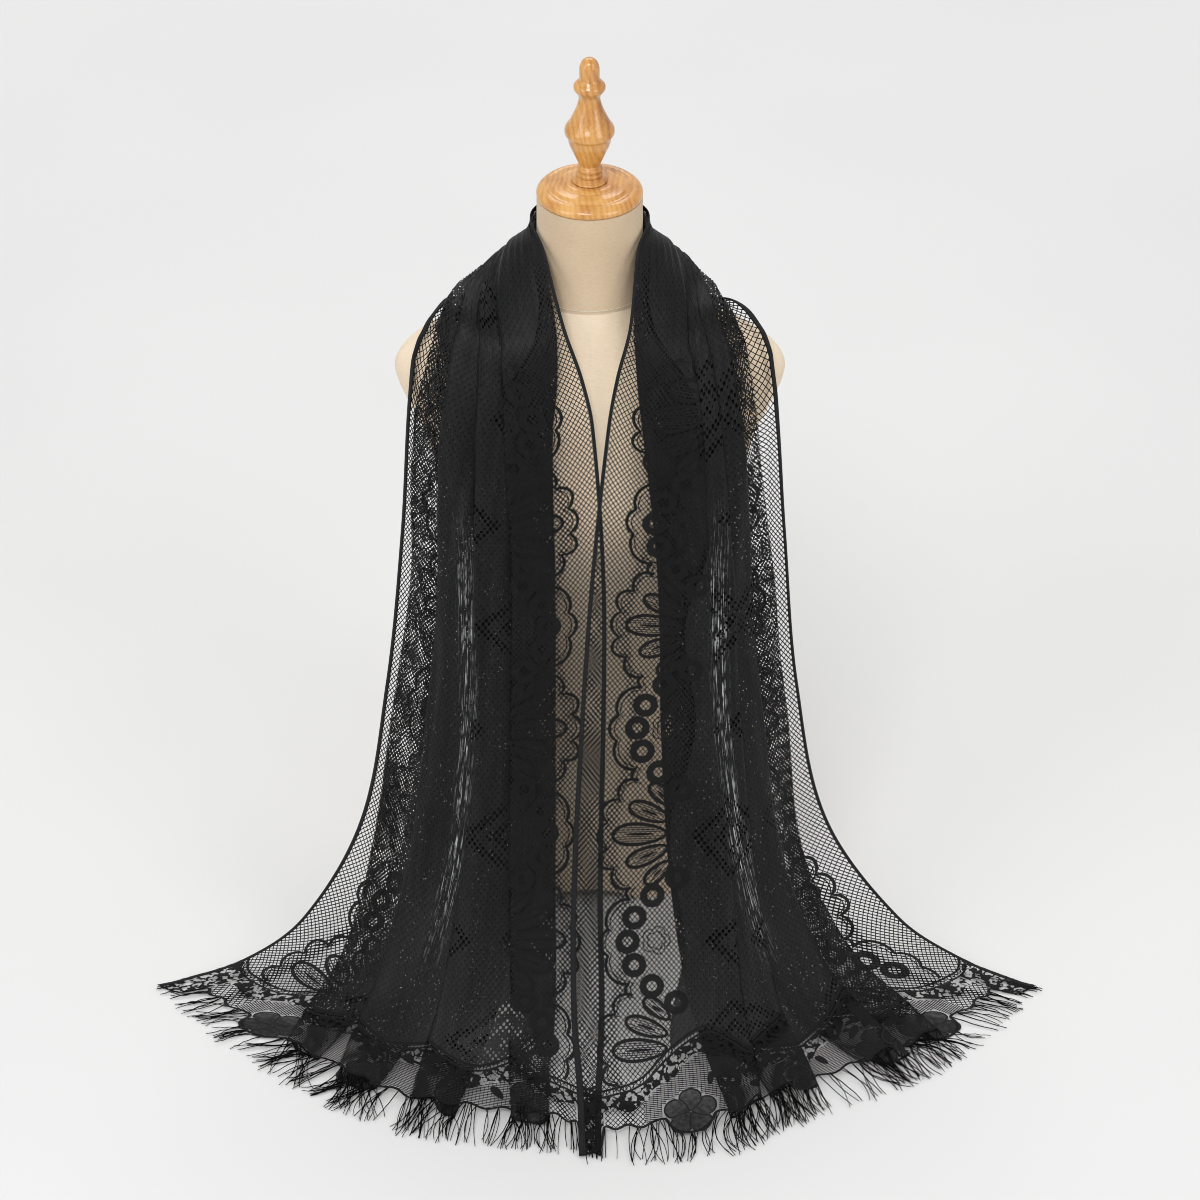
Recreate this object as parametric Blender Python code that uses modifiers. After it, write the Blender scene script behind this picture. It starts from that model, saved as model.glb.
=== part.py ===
"""Lace scarf hung round the neck of a limbless dress form.

The scarf is one rectangle of lace. It goes round the back of the neck, both ends come down the
front in lengthwise folds, cross at the chest, stand away from the form like a tent and fan out
on the table in a fringed hem. The form is a smooth torso with a turned cap and finial.

Units in the tables are millimetres. X is across, -Y is the front, Z is up, and the origin is
the middle of the form's base, which stands on z = 0.
"""

import math

import bmesh
import bpy
import numpy as np

MM = 0.001
GAP = 0.3
BAND_GAP = 0.42

# The scarf's cut size and cloth
SCARF_LENGTH = 1900.0
SCARF_WIDTH = 800.0
CLOTH_THICKNESS = 1.0
BAND_WIDTH = 6.5
BAND_THICKNESS = 1.0
FOLD_RADIUS = 1.1

# Where the three stretches part, as a share of the half length from the centre back
NECK_SHARE = 0.15
NECK_RINGS = 13
# Shares of the half length at which a front stretch has its sections, after its first
FRONT_SHARES = (0.18, 0.21, 0.24, 0.27, 0.30, 0.34, 0.40, 0.48, 0.57, 0.66, 0.74, 0.81, 0.87, 0.91, 0.95, 1.0)

# The paths of five lengthwise strands, from the neck edge to the shoulder edge. One row for each
# share of the half length: 0 is the centre back, 1 the hem. Each strand has the columns
# x of the left half, x of the right half, y, z.
STRANDS = (
    # share, neck edge, inner fold, middle fold,
    #        outer fold, shoulder edge
    (0.00, (0, 0, 58, 711), (0, 0, 67, 680), (0, 0, 80, 642),
     (0, 0, 96, 597), (0, 0, 102, 521)),
    (0.06, (-55, 55, 21, 711), (-49, 49, 38, 682), (-45, 45, 67, 646),
     (-48, 48, 89, 608), (-48, 48, 100, 528)),
    (0.12, (-43, 47, -40, 699), (-66, 66, -15, 688), (-78, 78, 16, 658),
     (-86, 86, 61, 624), (-94, 94, 88, 557)),
    (0.20, (-21, 34, -74, 638), (-46, 50, -74, 626), (-86, 81, -56, 623),
     (-120, 110, -14, 627), (-126, 124, 42, 601)),
    (0.25, (-6, 23, -88, 597), (-42, 49, -90, 588), (-93, 88, -78, 588),
     (-137, 131, -40, 597), (-145, 150, 8, 599)),
    (0.30, (4, 15, -102, 554), (-39, 49, -104, 543), (-98, 92, -98, 539),
     (-149, 141, -66, 546), (-159, 164, -28, 578)),
    (0.45, (14, 0, -145, 418), (-33, 64, -142, 410), (-103, 105, -133, 404),
     (-158, 159, -86, 402), (-172, 178, -63, 418)),
    (0.60, (14, -10, -198, 288), (-32, 68, -190, 282), (-107, 120, -174, 270),
     (-176, 176, -119, 265), (-189, 192, -100, 272)),
    (0.75, (11, -17, -261, 157), (-32, 75, -250, 154), (-118, 140, -231, 138),
     (-198, 192, -159, 130), (-218, 224, -130, 136)),
    (0.87, (12, -17, -324, 64), (-32, 93, -312, 61), (-138, 156, -293, 49),
     (-231, 241, -215, 40), (-275, 295, -164, 45)),
    (0.94, (10, -12, -373, 19), (-33, 113, -359, 19), (-152, 158, -337, 16),
     (-267, 281, -259, 12), (-330, 355, -188, 15)),
    (1.00, (10, -10, -430, 4.3), (-34, 130, -408, 4.3), (-165, 157, -382, 4.3),
     (-285, 309, -306, 4.3), (-396, 408, -209, 4.3)),
)

# The four long folds of each half. Each doubles the cloth back on itself: its crease is the
# outer edge that shows and its tuck the hidden edge, both measured from the neck edge.
# share, depth, creases and tucks of the left half, creases and tucks of the right half
FOLDS = (
    (0.00, 8.0, (62, 86, 110, 134), (8, 29, 50, 71), (62, 86, 110, 134), (8, 29, 50, 71)),
    (0.12, 8.0, (62, 86, 110, 134), (8, 29, 50, 71), (62, 86, 110, 134), (8, 29, 50, 71)),
    (0.20, 8.0, (60, 83, 107, 130), (10, 31, 52, 73), (58, 78, 98, 118), (8, 28, 48, 68)),
    (0.25, 7.0, (70, 94, 122, 148), (23, 44, 66, 88), (72, 92, 112, 132), (20, 40, 60, 80)),
    (0.30, 7.0, (80, 106, 138, 168), (38, 58, 80, 104), (86, 106, 125, 144), (34, 53, 72, 91)),
    (0.45, 7.0, (84, 118, 158, 190), (46, 68, 94, 122), (108, 132, 156, 180), (62, 84, 106, 128)),
    (0.60, 6.5, (87, 126, 176, 214), (47, 72, 104, 140), (128, 154, 184, 213), (76, 98, 124, 150)),
    (0.75, 6.0, (86, 134, 196, 242), (45, 80, 124, 172), (146, 178, 218, 252), (92, 118, 150, 188)),
    (0.87, 4.8, (86, 154, 226, 276), (46, 98, 160, 220), (158, 196, 262, 298), (110, 140, 200, 246)),
    (1.00, 2.6, (87, 183, 262, 325), (51, 137, 219, 288), (178, 236, 332, 374), (142, 190, 290, 338)),
)
# The cloth's two long edges drop to the table between these shares of the half length
EDGE_DROP_FROM = 0.60
EDGE_DROP_TO = 0.94
# The right half lies over the left where their neck edges cross: how far out, from and to which
# share of the half length that grows, and over which distances from the neck edge it dies away
LAP_RISE = 2.6
LAP_FROM = 0.22
LAP_TO = 0.32
LAP_FULL = 34.0
LAP_END = 50.0

# Fringe: locks of cut threads on a narrow strip just beyond each hem
LOCKS_PER_HEM = 68
LOCK_LENGTH = 31.0
LOCK_WIDTH = 3.0
LOCK_TIP_WIDTH = 1.1
STRIP_WIDTH = 3.0
STRIP_BOTTOM = 0.9
STRIP_THICKNESS = 1.2

# The dress form's level sections: height, half width, depth to the front and back, squareness
FORM_SECTIONS = (
    (730.0, 46.5, 46.5, 46.5, 2.00),
    (700.0, 46.8, 46.8, 46.8, 2.00),
    (668.0, 48.2, 48.2, 48.2, 2.00),
    (648.0, 51.5, 52.0, 52.0, 2.00),
    (635.0, 60.0, 57.0, 58.0, 1.95),
    (624.0, 79.0, 61.0, 64.0, 1.90),
    (612.0, 103.0, 66.0, 69.0, 1.85),
    (600.0, 128.0, 71.0, 74.0, 1.80),
    (588.0, 151.0, 76.0, 80.0, 1.80),
    (576.0, 167.0, 81.0, 85.0, 1.80),
    (562.0, 175.0, 86.0, 90.0, 1.80),
    (545.0, 174.0, 90.0, 94.0, 1.80),
    (518.0, 163.0, 95.0, 96.0, 1.85),
    (488.0, 150.0, 103.0, 96.0, 1.95),
    (452.0, 142.0, 111.0, 94.0, 2.00),
    (412.0, 136.0, 106.0, 91.0, 2.05),
    (362.0, 123.0, 94.0, 85.0, 2.10),
    (314.0, 115.0, 86.0, 80.0, 2.10),
    (256.0, 124.0, 87.0, 88.0, 2.10),
    (190.0, 141.0, 91.0, 103.0, 2.10),
    (114.0, 152.0, 93.0, 110.0, 2.10),
    (48.0, 152.0, 93.0, 107.0, 2.10),
    (0.0, 149.0, 91.0, 103.0, 2.10),
)
FORM_SIDES = 36
ARCH_RADIUS = 78.0
ARCH_HEIGHT = 16.0
ARCH_BACK = -35.0
ARCH_FRONT = -130.0

# Turned wood: radius and height, down the outer side
CAP_BOTTOM = 730.0 + GAP
CAP_PROFILE = (
    (0.0, 14.2), (20.0, 14.2), (22.6, 12.9), (24.2, 11.9), (26.0, 12.9), (33.0, 11.8),
    (35.4, 9.6), (37.2, 9.0), (39.2, 9.8), (43.0, 8.2), (46.0, 5.4), (47.0, 2.8), (46.4, 0.0), (0.0, 0.0),
)
CAP_SIDES = 40
FINIAL_BOTTOM = CAP_BOTTOM + 14.2 + GAP
FINIAL_PROFILE = (
    (0.0, 118.2), (3.6, 117.4), (6.8, 114.6), (8.8, 109.4), (8.8, 98.4), (10.2, 96.4), (13.9, 92.4),
    (13.9, 88.6), (10.0, 83.6), (9.2, 79.6), (11.4, 71.0), (17.0, 58.4), (21.8, 51.4), (21.8, 46.0),
    (19.4, 43.6), (18.2, 36.6), (13.4, 25.4), (8.9, 15.6), (11.4, 13.4), (11.4, 10.8), (9.8, 9.8),
    (11.6, 8.4), (11.6, 5.8), (10.6, 4.8), (17.2, 0.0), (0.0, 0.0),
)
FINIAL_SIDES = 22


# Scene helpers

def clear_scene():
    for item in list(bpy.data.objects):
        bpy.data.objects.remove(item, do_unlink=True)


def new_collection(name):
    collection = bpy.data.collections.new(name)
    bpy.context.scene.collection.children.link(collection)
    return collection


def new_material(name, colour, roughness, metallic=0.0):
    material = bpy.data.materials.new(name)
    material.use_nodes = True
    shader = material.node_tree.nodes["Principled BSDF"]
    shader.inputs["Base Color"].default_value = (*colour, 1.0)
    shader.inputs["Roughness"].default_value = roughness
    shader.inputs["Metallic"].default_value = metallic
    return material


def new_object(name, vertices, faces, collection, material, edges=()):
    """An object from points in millimetres."""
    mesh = bpy.data.meshes.new(name)
    mesh.from_pydata([[MM * float(value) for value in point] for point in vertices], edges, faces)
    item = bpy.data.objects.new(name, mesh)
    collection.objects.link(item)
    item.data.materials.append(material)
    return item


def face_outward(item):
    work = bmesh.new()
    work.from_mesh(item.data)
    bmesh.ops.recalc_face_normals(work, faces=work.faces)
    work.to_mesh(item.data)
    work.free()


def shade(item, angle_degrees=35.0):
    item.data.shade_smooth()
    item.data.set_sharp_from_angle(angle=math.radians(angle_degrees))


# The dress form

def form_ring(height, half_width, front, back, squareness):
    ring = []
    for side in range(FORM_SIDES):
        angle = 2.0 * math.pi * side / FORM_SIDES
        cosine, sine = math.cos(angle), math.sin(angle)
        depth = back if sine > 0.0 else front
        x = half_width * math.copysign(abs(cosine) ** (2.0 / squareness), cosine)
        y = depth * math.copysign(abs(sine) ** (2.0 / squareness), sine)
        ring.append((x, y, height))
    return ring


def make_form(collection, cutters, material):
    """The torso: a loft through level sections, with a shallow arch cut in its lower front edge."""
    vertices = []
    for row in FORM_SECTIONS:
        vertices.extend(form_ring(*row))
    faces = []
    for level in range(len(FORM_SECTIONS) - 1):
        for side in range(FORM_SIDES):
            after = (side + 1) % FORM_SIDES
            top, low = level * FORM_SIDES, (level + 1) * FORM_SIDES
            faces.append((top + side, low + side, low + after, top + after))
    last = (len(FORM_SECTIONS) - 1) * FORM_SIDES
    faces.append(tuple(range(FORM_SIDES)))
    faces.append(tuple(reversed(range(last, last + FORM_SIDES))))
    form = new_object("form_torso", vertices, faces, collection, material)
    face_outward(form)
    length = (ARCH_BACK - ARCH_FRONT) * MM
    bpy.ops.mesh.primitive_cylinder_add(
        vertices=48, radius=ARCH_RADIUS * MM, depth=length,
        location=(0.0, (ARCH_BACK + ARCH_FRONT) / 2.0 * MM, (ARCH_HEIGHT - ARCH_RADIUS) * MM),
        rotation=(math.radians(90.0), 0.0, 0.0))
    arch = bpy.context.object
    arch.name = "cut_base_arch"
    for holder in list(arch.users_collection):
        holder.objects.unlink(arch)
    cutters.objects.link(arch)
    arch.hide_render = True
    arch.display_type = "WIRE"
    cut = form.modifiers.new("base arch", "BOOLEAN")
    cut.operation = "DIFFERENCE"
    cut.solver = "EXACT"
    cut.object = arch
    shade(form)
    return form


def make_turned(name, profile, bottom, sides, collection, material):
    """A turned piece: the profile, in radius and height over bottom, screwed round Z."""
    vertices = [(radius, 0.0, height + bottom) for radius, height in profile]
    edges = [(index, index + 1) for index in range(len(vertices) - 1)]
    item = new_object(name, vertices, [], collection, material, edges)
    screw = item.modifiers.new("turned", "SCREW")
    screw.axis = "Z"
    screw.angle = 2.0 * math.pi
    screw.steps = sides
    screw.render_steps = sides
    screw.use_merge_vertices = True
    screw.merge_threshold = 0.00005
    screw.use_smooth_shade = True
    return item


# The cloth's surface

def smooth_between(knots, values, at):
    """A smooth curve through values at the rising knots, read at each place in at."""
    knots = np.asarray(knots, float)
    values = np.asarray(values, float)
    slopes = np.empty_like(values)
    slopes[1:-1] = (values[2:] - values[:-2]) / (knots[2:] - knots[:-2])[:, None]
    slopes[0] = (values[1] - values[0]) / (knots[1] - knots[0])
    slopes[-1] = (values[-1] - values[-2]) / (knots[-1] - knots[-2])
    at = np.atleast_1d(np.asarray(at, float))
    cell = np.clip(np.searchsorted(knots, at, side="right") - 1, 0, len(knots) - 2)
    step = (knots[cell + 1] - knots[cell])[:, None]
    t = (at - knots[cell])[:, None] / step
    start, end = values[cell], values[cell + 1]
    return (
        start * (2 * t ** 3 - 3 * t ** 2 + 1) + end * (3 * t ** 2 - 2 * t ** 3)
        + step * slopes[cell] * (t ** 3 - 2 * t ** 2 + t) + step * slopes[cell + 1] * (t ** 3 - t ** 2)
    )


def strand_table():
    """Shares from -1, the right hem, to 1, the left hem, and the five strands' points at each."""
    shares, points = [], []
    for side in (-1, 1):
        rows = STRANDS[:0:-1] if side < 0 else STRANDS
        for share, *strands in rows:
            shares.append(side * share)
            column = 1 if side < 0 else 0
            points.append([(strand[column], strand[2], strand[3]) for strand in strands])
    return np.array(shares), np.array(points, float)


STRAND_SHARES, STRAND_POINTS = strand_table()


def strands_at(share):
    flat = STRAND_POINTS.reshape(len(STRAND_SHARES), -1)
    return smooth_between(STRAND_SHARES, flat, share)[0].reshape(-1, 3)


def section_knots(strands):
    steps = np.linalg.norm(np.diff(strands, axis=0), axis=1)
    return np.concatenate(([0.0], np.cumsum(steps)))


def base_points(share, parts):
    """Points of the smooth surface that the folds follow, at parts of the width, 0 to 1."""
    strands = strands_at(share)
    knots = section_knots(strands)
    return smooth_between(knots, strands, np.asarray(parts) * knots[-1])


def section_width(share):
    return section_knots(strands_at(share))[-1]


def base_frame(share, parts):
    """Points, outward normals and lengthwise directions of that surface."""
    step = 0.002
    parts = np.asarray(parts, float)
    points = base_points(share, parts)
    across = base_points(share, parts + step) - base_points(share, parts - step)
    ahead = base_points(min(share + step, 1.0), parts)
    behind = base_points(max(share - step, -1.0), parts)
    along = ahead - behind
    normals = np.cross(across, along)
    normals /= np.linalg.norm(normals, axis=1)[:, None]
    along /= np.linalg.norm(along, axis=1)[:, None]
    return points, normals, along


def fold_values(share):
    """Depth, creases and tucks of the folds at a share of the length."""
    side = 0 if share >= 0.0 else 1
    shares = [row[0] for row in FOLDS]
    table = [[row[1], *row[2 + 2 * side], *row[3 + 2 * side]] for row in FOLDS]
    values = smooth_between(shares, table, abs(share))[0]
    return values[0], values[1:5], values[5:9]


def edge_level(share, depth):
    """How far the long edges lie under the smooth surface."""
    return -(depth + FOLD_RADIUS) * smooth_step(EDGE_DROP_FROM, EDGE_DROP_TO, abs(share))


def smooth_step(low, high, value):
    t = min(max((value - low) / (high - low), 0.0), 1.0)
    return t * t * (3.0 - 2.0 * t)


def lap_rise(share, distance):
    """How far the right half is lifted off the left one at this distance from its neck edge."""
    if share >= 0.0:
        return 0.0
    grown = smooth_step(LAP_FROM, LAP_TO, -share)
    return LAP_RISE * grown * (1.0 - smooth_step(LAP_FULL, LAP_END, distance))


def tangent_direction(start, end, start_radius, end_radius, turn):
    """Direction of the line that leaves one circle and meets the next on its other side."""
    reach = math.hypot(end[0] - start[0], end[1] - start[1])
    bearing = math.atan2(end[1] - start[1], end[0] - start[0])
    return bearing - turn * math.asin((start_radius + end_radius) / reach)


def on_circle(centre, radius, direction, turn):
    """Point of a circle where a path running in this direction touches it. turn is 1 where the
    path turns clockwise round it and -1 where it turns the other way."""
    return (centre[0] - turn * radius * math.sin(direction), centre[1] + turn * radius * math.cos(direction))


def fold_path(share):
    """The folded section, as distances across and outward from the smooth surface.

    It runs from the neck edge to the shoulder edge round a small circle at each crease and tuck.
    Returns the points, with a fixed count for every share.
    """
    depth, creases, tucks = fold_values(share)
    width = section_width(share)
    level = edge_level(share, depth)
    circles = [((0.0, level), 0.0, -1)]
    for crease, tuck in zip(creases, tucks):
        circles.append(((crease - FOLD_RADIUS, depth), FOLD_RADIUS, 1))
        circles.append(((tuck + FOLD_RADIUS, -depth), FOLD_RADIUS, -1))
    circles.append(((width, level), 0.0, 1))
    directions = []
    for (start, start_radius, turn), (end, end_radius, _) in zip(circles, circles[1:]):
        directions.append(tangent_direction(start, end, start_radius, end_radius, turn))
    path = []
    for index, (centre, radius, turn) in enumerate(circles):
        if radius > 0.0:
            coming, going = directions[index - 1], directions[index]
            swing = (coming - going) % (2.0 * math.pi) if turn > 0 else (going - coming) % (2.0 * math.pi)
            for part in (0.0, 0.5, 1.0):
                path.append(on_circle(centre, radius, coming - turn * swing * part, turn))
        else:
            path.append(centre)
        if index == len(circles) - 1:
            break
        after_centre, after_radius, after_turn = circles[index + 1]
        leave = np.array(path[-1])
        meet = np.array(on_circle(after_centre, after_radius, directions[index], after_turn))
        ends = index == 0 or index == len(circles) - 2
        inner = 4 if ends else (2 if turn < 0 else 1)
        for stop in range(1, inner + 1):
            path.append(tuple(leave + (meet - leave) * stop / (inner + 1)))
    return np.array(path)


def trimmed_path(share, skip):
    """The folded section without this much of it at either edge."""
    return trim(trim(fold_path(share), skip)[::-1], skip)[::-1]


def trim(path, distance):
    """The path with its first distance cut off, keeping its count of points."""
    first = path[1] - path[0]
    length = np.linalg.norm(first)
    cut = path.copy()
    cut[0] = path[0] + first * min(distance / length, 0.9)
    return cut


def place(share, path):
    """Section points in space: distances across and outward become points of the cloth."""
    width = section_width(share)
    points, normals, _ = base_frame(share, path[:, 0] / width)
    rise = np.array([lap_rise(share, distance) for distance in path[:, 0]])
    return points + normals * (path[:, 1] + rise)[:, None]


def shares_between(start, end, count):
    return [start + (end - start) * index / (count - 1) for index in range(count)]


def sheet_object(name, rings, thickness, collection, material):
    """A wall round the surface through these rings of points."""
    count = len(rings[0])
    vertices = [point for ring in rings for point in ring]
    faces = []
    for ring in range(len(rings) - 1):
        for index in range(count - 1):
            a = ring * count + index
            faces.append((a, a + 1, a + count + 1, a + count))
    item = new_object(name, vertices, faces, collection, material)
    wall = item.modifiers.new("cloth thickness", "SOLIDIFY")
    wall.thickness = thickness * MM
    wall.offset = 0.0
    wall.use_even_offset = False
    wall.use_quality_normals = True
    shade(item, 60.0)
    return item


def stretch_shares():
    """Ring shares of the three stretches, with a gap where one ends and the next begins."""
    half_gap = GAP / SCARF_LENGTH
    front = [NECK_SHARE + half_gap, *FRONT_SHARES]
    neck = shares_between(-NECK_SHARE + half_gap, NECK_SHARE - half_gap, NECK_RINGS)
    return {"left": front, "right": [-share for share in reversed(front)], "neck": neck}


def make_cloth(collection, lace, band):
    """The lace in its three stretches, and the band along each stretch's two long edges."""
    names = {"left": "scarf_left_front", "right": "scarf_right_front", "neck": "scarf_neck"}
    for key, shares in stretch_shares().items():
        rings = [place(share, trimmed_path(share, BAND_WIDTH + BAND_GAP)) for share in shares]
        sheet_object(names[key], rings, CLOTH_THICKNESS, collection, lace)
        for edge in ("inner", "outer"):
            strips = [place(share, band_path(share, edge)) for share in shares]
            sheet_object(f"edge_band_{key}_{edge}", strips, BAND_THICKNESS, collection, band)


def band_path(share, edge):
    """The edge band's own two points: the cloth's edge and the band's inner side."""
    path = fold_path(share)
    if edge == "outer":
        path = path[::-1]
    first = path[1] - path[0]
    inner = path[0] + first / np.linalg.norm(first) * BAND_WIDTH
    pair = np.array([path[0], inner])
    return pair if edge == "inner" else pair[::-1]


# The fringe

def make_fringe(name, share, collection, material):
    """Locks of thread that fan out from a narrow strip just beyond the hem.

    The strip and its locks are one closed mesh: each lock grows from one face of the strip.
    """
    step = 1.0 / LOCKS_PER_HEM
    lock_part = LOCK_WIDTH / section_width(share)
    edges = [0.0]
    for index in range(LOCKS_PER_HEM):
        centre = (index + 0.5) * step
        edges += [centre - lock_part / 2.0, centre + lock_part / 2.0]
    edges.append(1.0)
    points, _, along = base_frame(share, edges)
    out = along * math.copysign(1.0, share)
    out[:, 2] = 0.0
    out /= np.linalg.norm(out, axis=1)[:, None]
    low, high = STRIP_BOTTOM, STRIP_BOTTOM + STRIP_THICKNESS
    vertices = []
    for edge, point, away in zip(edges, points, out):
        rise = lap_rise(share, edge * section_width(share))
        far = GAP + STRIP_WIDTH
        for distance, height in ((GAP, low), (GAP, high), (far, high), (far, low)):
            spot = point + away * distance
            vertices.append((spot[0], spot[1], height + rise))
    faces = [(0, 3, 2, 1)]
    for cell in range(len(edges) - 1):
        a, b = 4 * cell, 4 * cell + 4
        faces += [(a, a + 1, b + 1, b), (a + 1, a + 2, b + 2, b + 1), (a, b, b + 3, a + 3)]
        if cell % 2 == 0:
            faces.append((a + 2, a + 3, b + 3, b + 2))
        else:
            add_lock(vertices, faces, a, b, cell // 2)
    last = 4 * (len(edges) - 1)
    faces.append((last, last + 1, last + 2, last + 3))
    item = new_object(name, vertices, faces, collection, material)
    face_outward(item)
    return item


def add_lock(vertices, faces, a, b, index):
    """One lock: a bent, tapering, four-sided tube from the strip's outer face to a closed tip."""
    root = [np.array(vertices[corner], float) for corner in (a + 2, b + 2, b + 3, a + 3)]
    side = root[1] - root[0]
    side /= np.linalg.norm(side)
    away = np.cross(side, (0.0, 0.0, 1.0))
    centre = sum(root) / 4.0
    inner = (np.array(vertices[a + 1]) + np.array(vertices[b + 1])) / 2.0
    if np.dot(away, centre - inner) < 0.0:
        away = -away
    sway = 2.6 * math.sin(0.83 * index) + 1.6 * math.sin(0.37 * index + 1.0)
    length = LOCK_LENGTH * (1.0 + 0.10 * math.sin(1.7 * index))
    previous = (a + 2, b + 2, b + 3, a + 3)
    for part, width, thick, rise in ((0.5, 0.75, 0.9, 0.9), (1.0, LOCK_TIP_WIDTH / LOCK_WIDTH, 0.7, -0.25)):
        middle = centre + away * length * part + side * sway * part * part + np.array((0.0, 0.0, rise))
        half = side * LOCK_WIDTH * width / 2.0
        up = np.array((0.0, 0.0, STRIP_THICKNESS * thick / 2.0))
        first = len(vertices)
        for corner in (middle - half + up, middle + half + up, middle + half - up, middle - half - up):
            vertices.append(tuple(corner))
        ring = (first, first + 1, first + 2, first + 3)
        for corner in range(4):
            after = (corner + 1) % 4
            faces.append((previous[corner], previous[after], ring[after], ring[corner]))
        previous = ring
    faces.append(previous)


def main():
    clear_scene()
    part = new_collection("lace_scarf_on_form")
    cutters = new_collection("cutters")
    lace = new_material("black lace", (0.012, 0.012, 0.014), 0.62)
    band = new_material("lace edge band", (0.010, 0.010, 0.011), 0.70)
    thread = new_material("fringe thread", (0.010, 0.010, 0.011), 0.75)
    linen = new_material("linen", (0.72, 0.60, 0.42), 0.85)
    wood = new_material("varnished wood", (0.52, 0.25, 0.08), 0.28)
    make_form(part, cutters, linen)
    make_turned("neck_cap", CAP_PROFILE, CAP_BOTTOM, CAP_SIDES, part, wood)
    make_turned("finial", FINIAL_PROFILE, FINIAL_BOTTOM, FINIAL_SIDES, part, wood)
    make_cloth(part, lace, band)
    make_fringe("fringe_left", 1.0, part, thread)
    make_fringe("fringe_right", -1.0, part, thread)


main()
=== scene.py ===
"""Looks of a lace scarf hung round the neck of a limbless dress form.

Lengths in the tables are millimetres. A place on the flat scarf has a column, the distance from its
neck edge, 0 to 800, and a length, measured from the centre back: positive on the viewer's left half,
with the hems at 950 and -950. Rise is the distance from a hem, and inset the distance from the nearer
long edge.
"""
import math

import bmesh
import bpy
import numpy as np
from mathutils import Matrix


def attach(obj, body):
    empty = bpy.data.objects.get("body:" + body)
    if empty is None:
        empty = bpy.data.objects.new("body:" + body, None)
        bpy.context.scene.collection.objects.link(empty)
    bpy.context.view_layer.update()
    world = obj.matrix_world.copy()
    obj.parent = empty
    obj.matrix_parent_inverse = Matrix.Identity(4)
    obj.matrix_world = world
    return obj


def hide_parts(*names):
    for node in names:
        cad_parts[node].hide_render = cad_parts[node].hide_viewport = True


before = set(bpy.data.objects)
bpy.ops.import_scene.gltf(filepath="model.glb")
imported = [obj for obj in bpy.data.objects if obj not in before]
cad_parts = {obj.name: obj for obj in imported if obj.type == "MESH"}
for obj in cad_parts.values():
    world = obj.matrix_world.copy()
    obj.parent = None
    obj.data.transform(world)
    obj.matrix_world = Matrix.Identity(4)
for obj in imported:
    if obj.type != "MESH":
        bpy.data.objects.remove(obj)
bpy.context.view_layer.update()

MM = 0.001
LEVEL_ONLY = np.array((1.0, 1.0, 0.0))

# The scarf's cut size and the parts of its length that are pieces of their own
HALF_LENGTH = 950.0
WIDTH = 800.0
NECK_REACH = 142.5
# Width of the firm edges: share of the half length, neck edge, shoulder edge
BAND_WIDTHS = (
    (0.00, 3.0, 2.6), (0.30, 3.2, 3.0), (0.45, 3.7, 2.6), (0.60, 4.4, 2.4), (0.85, 5.4, 2.8),
    (1.00, 6.5, 4.0),
)
# Where the outer edge hangs free it is thicker, and on the left half broader. It runs past the hem
BAND_LIFT, BAND_LIFT_HANGING, BAND_LEFT_GAIN = 0.5, 0.55, 1.4
BAND_BEYOND_HEM = 12.0
# Shares over which it begins and ceases to hang free
HANGS_FROM, HANGS_TO = (0.12, 0.22), (0.70, 0.90)
BAND_SIDES = 8

# The cloth's surface as a grid: spacing of its columns and rows, and rows beyond each hem, which
# come down to a level just over the table
COLUMN_STEP, LENGTH_STEP = 2.5, 4.75
ROWS_BEYOND, ROWS_TO_LEVEL, LEVEL_BEYOND = 10, 6, 1.1

# The paths of five lengthwise strands, from the neck edge to the shoulder edge. One row for each
# share of the half length: 0 is the centre back, 1 the hem. Each strand has the columns
# x of the left half, x of the right half, y, z.
STRANDS = (
    # share, neck edge, inner fold, middle fold,
    #        outer fold, shoulder edge
    (0.00, (0, 0, 53, 706), (0, 0, 62, 680), (0, 0, 80, 642),
     (0, 0, 96, 597), (0, 0, 102, 521)),
    (0.06, (-50, 50, 18, 706), (-45, 45, 36, 680), (-45, 45, 67, 646),
     (-48, 48, 89, 608), (-48, 48, 100, 528)),
    (0.12, (-39, 41, -36, 694), (-60, 60, -14, 684), (-78, 78, 16, 658),
     (-86, 86, 61, 624), (-94, 94, 88, 557)),
    (0.20, (-21, 34, -74, 638), (-46, 50, -74, 626), (-86, 81, -56, 623),
     (-120, 110, -14, 627), (-126, 124, 42, 601)),
    (0.25, (-6, 23, -88, 597), (-42, 49, -90, 588), (-93, 88, -78, 588),
     (-137, 131, -40, 597), (-145, 150, 8, 599)),
    (0.30, (4, 15, -102, 554), (-39, 49, -104, 543), (-98, 92, -98, 539),
     (-149, 141, -66, 546), (-159, 164, -28, 578)),
    (0.45, (14, 0, -145, 418), (-33, 64, -142, 410), (-103, 105, -133, 404),
     (-158, 159, -86, 402), (-172, 178, -63, 418)),
    (0.60, (14, -10, -198, 288), (-32, 68, -190, 282), (-107, 120, -174, 270),
     (-176, 176, -119, 265), (-189, 192, -100, 272)),
    (0.75, (11, -17, -261, 157), (-32, 75, -250, 154), (-118, 140, -231, 138),
     (-198, 192, -159, 130), (-218, 224, -130, 136)),
    (0.87, (12, -17, -324, 64), (-32, 93, -312, 61), (-138, 156, -293, 49),
     (-231, 241, -215, 40), (-275, 295, -164, 45)),
    (0.94, (10, -12, -373, 19), (-33, 113, -359, 19), (-152, 158, -337, 16),
     (-267, 281, -259, 12), (-330, 355, -188, 15)),
    (1.00, (10, -10, -430, 4.3), (-34, 130, -408, 4.3), (-165, 157, -382, 4.3),
     (-285, 309, -306, 4.3), (-396, 408, -209, 4.3)),
)

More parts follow.
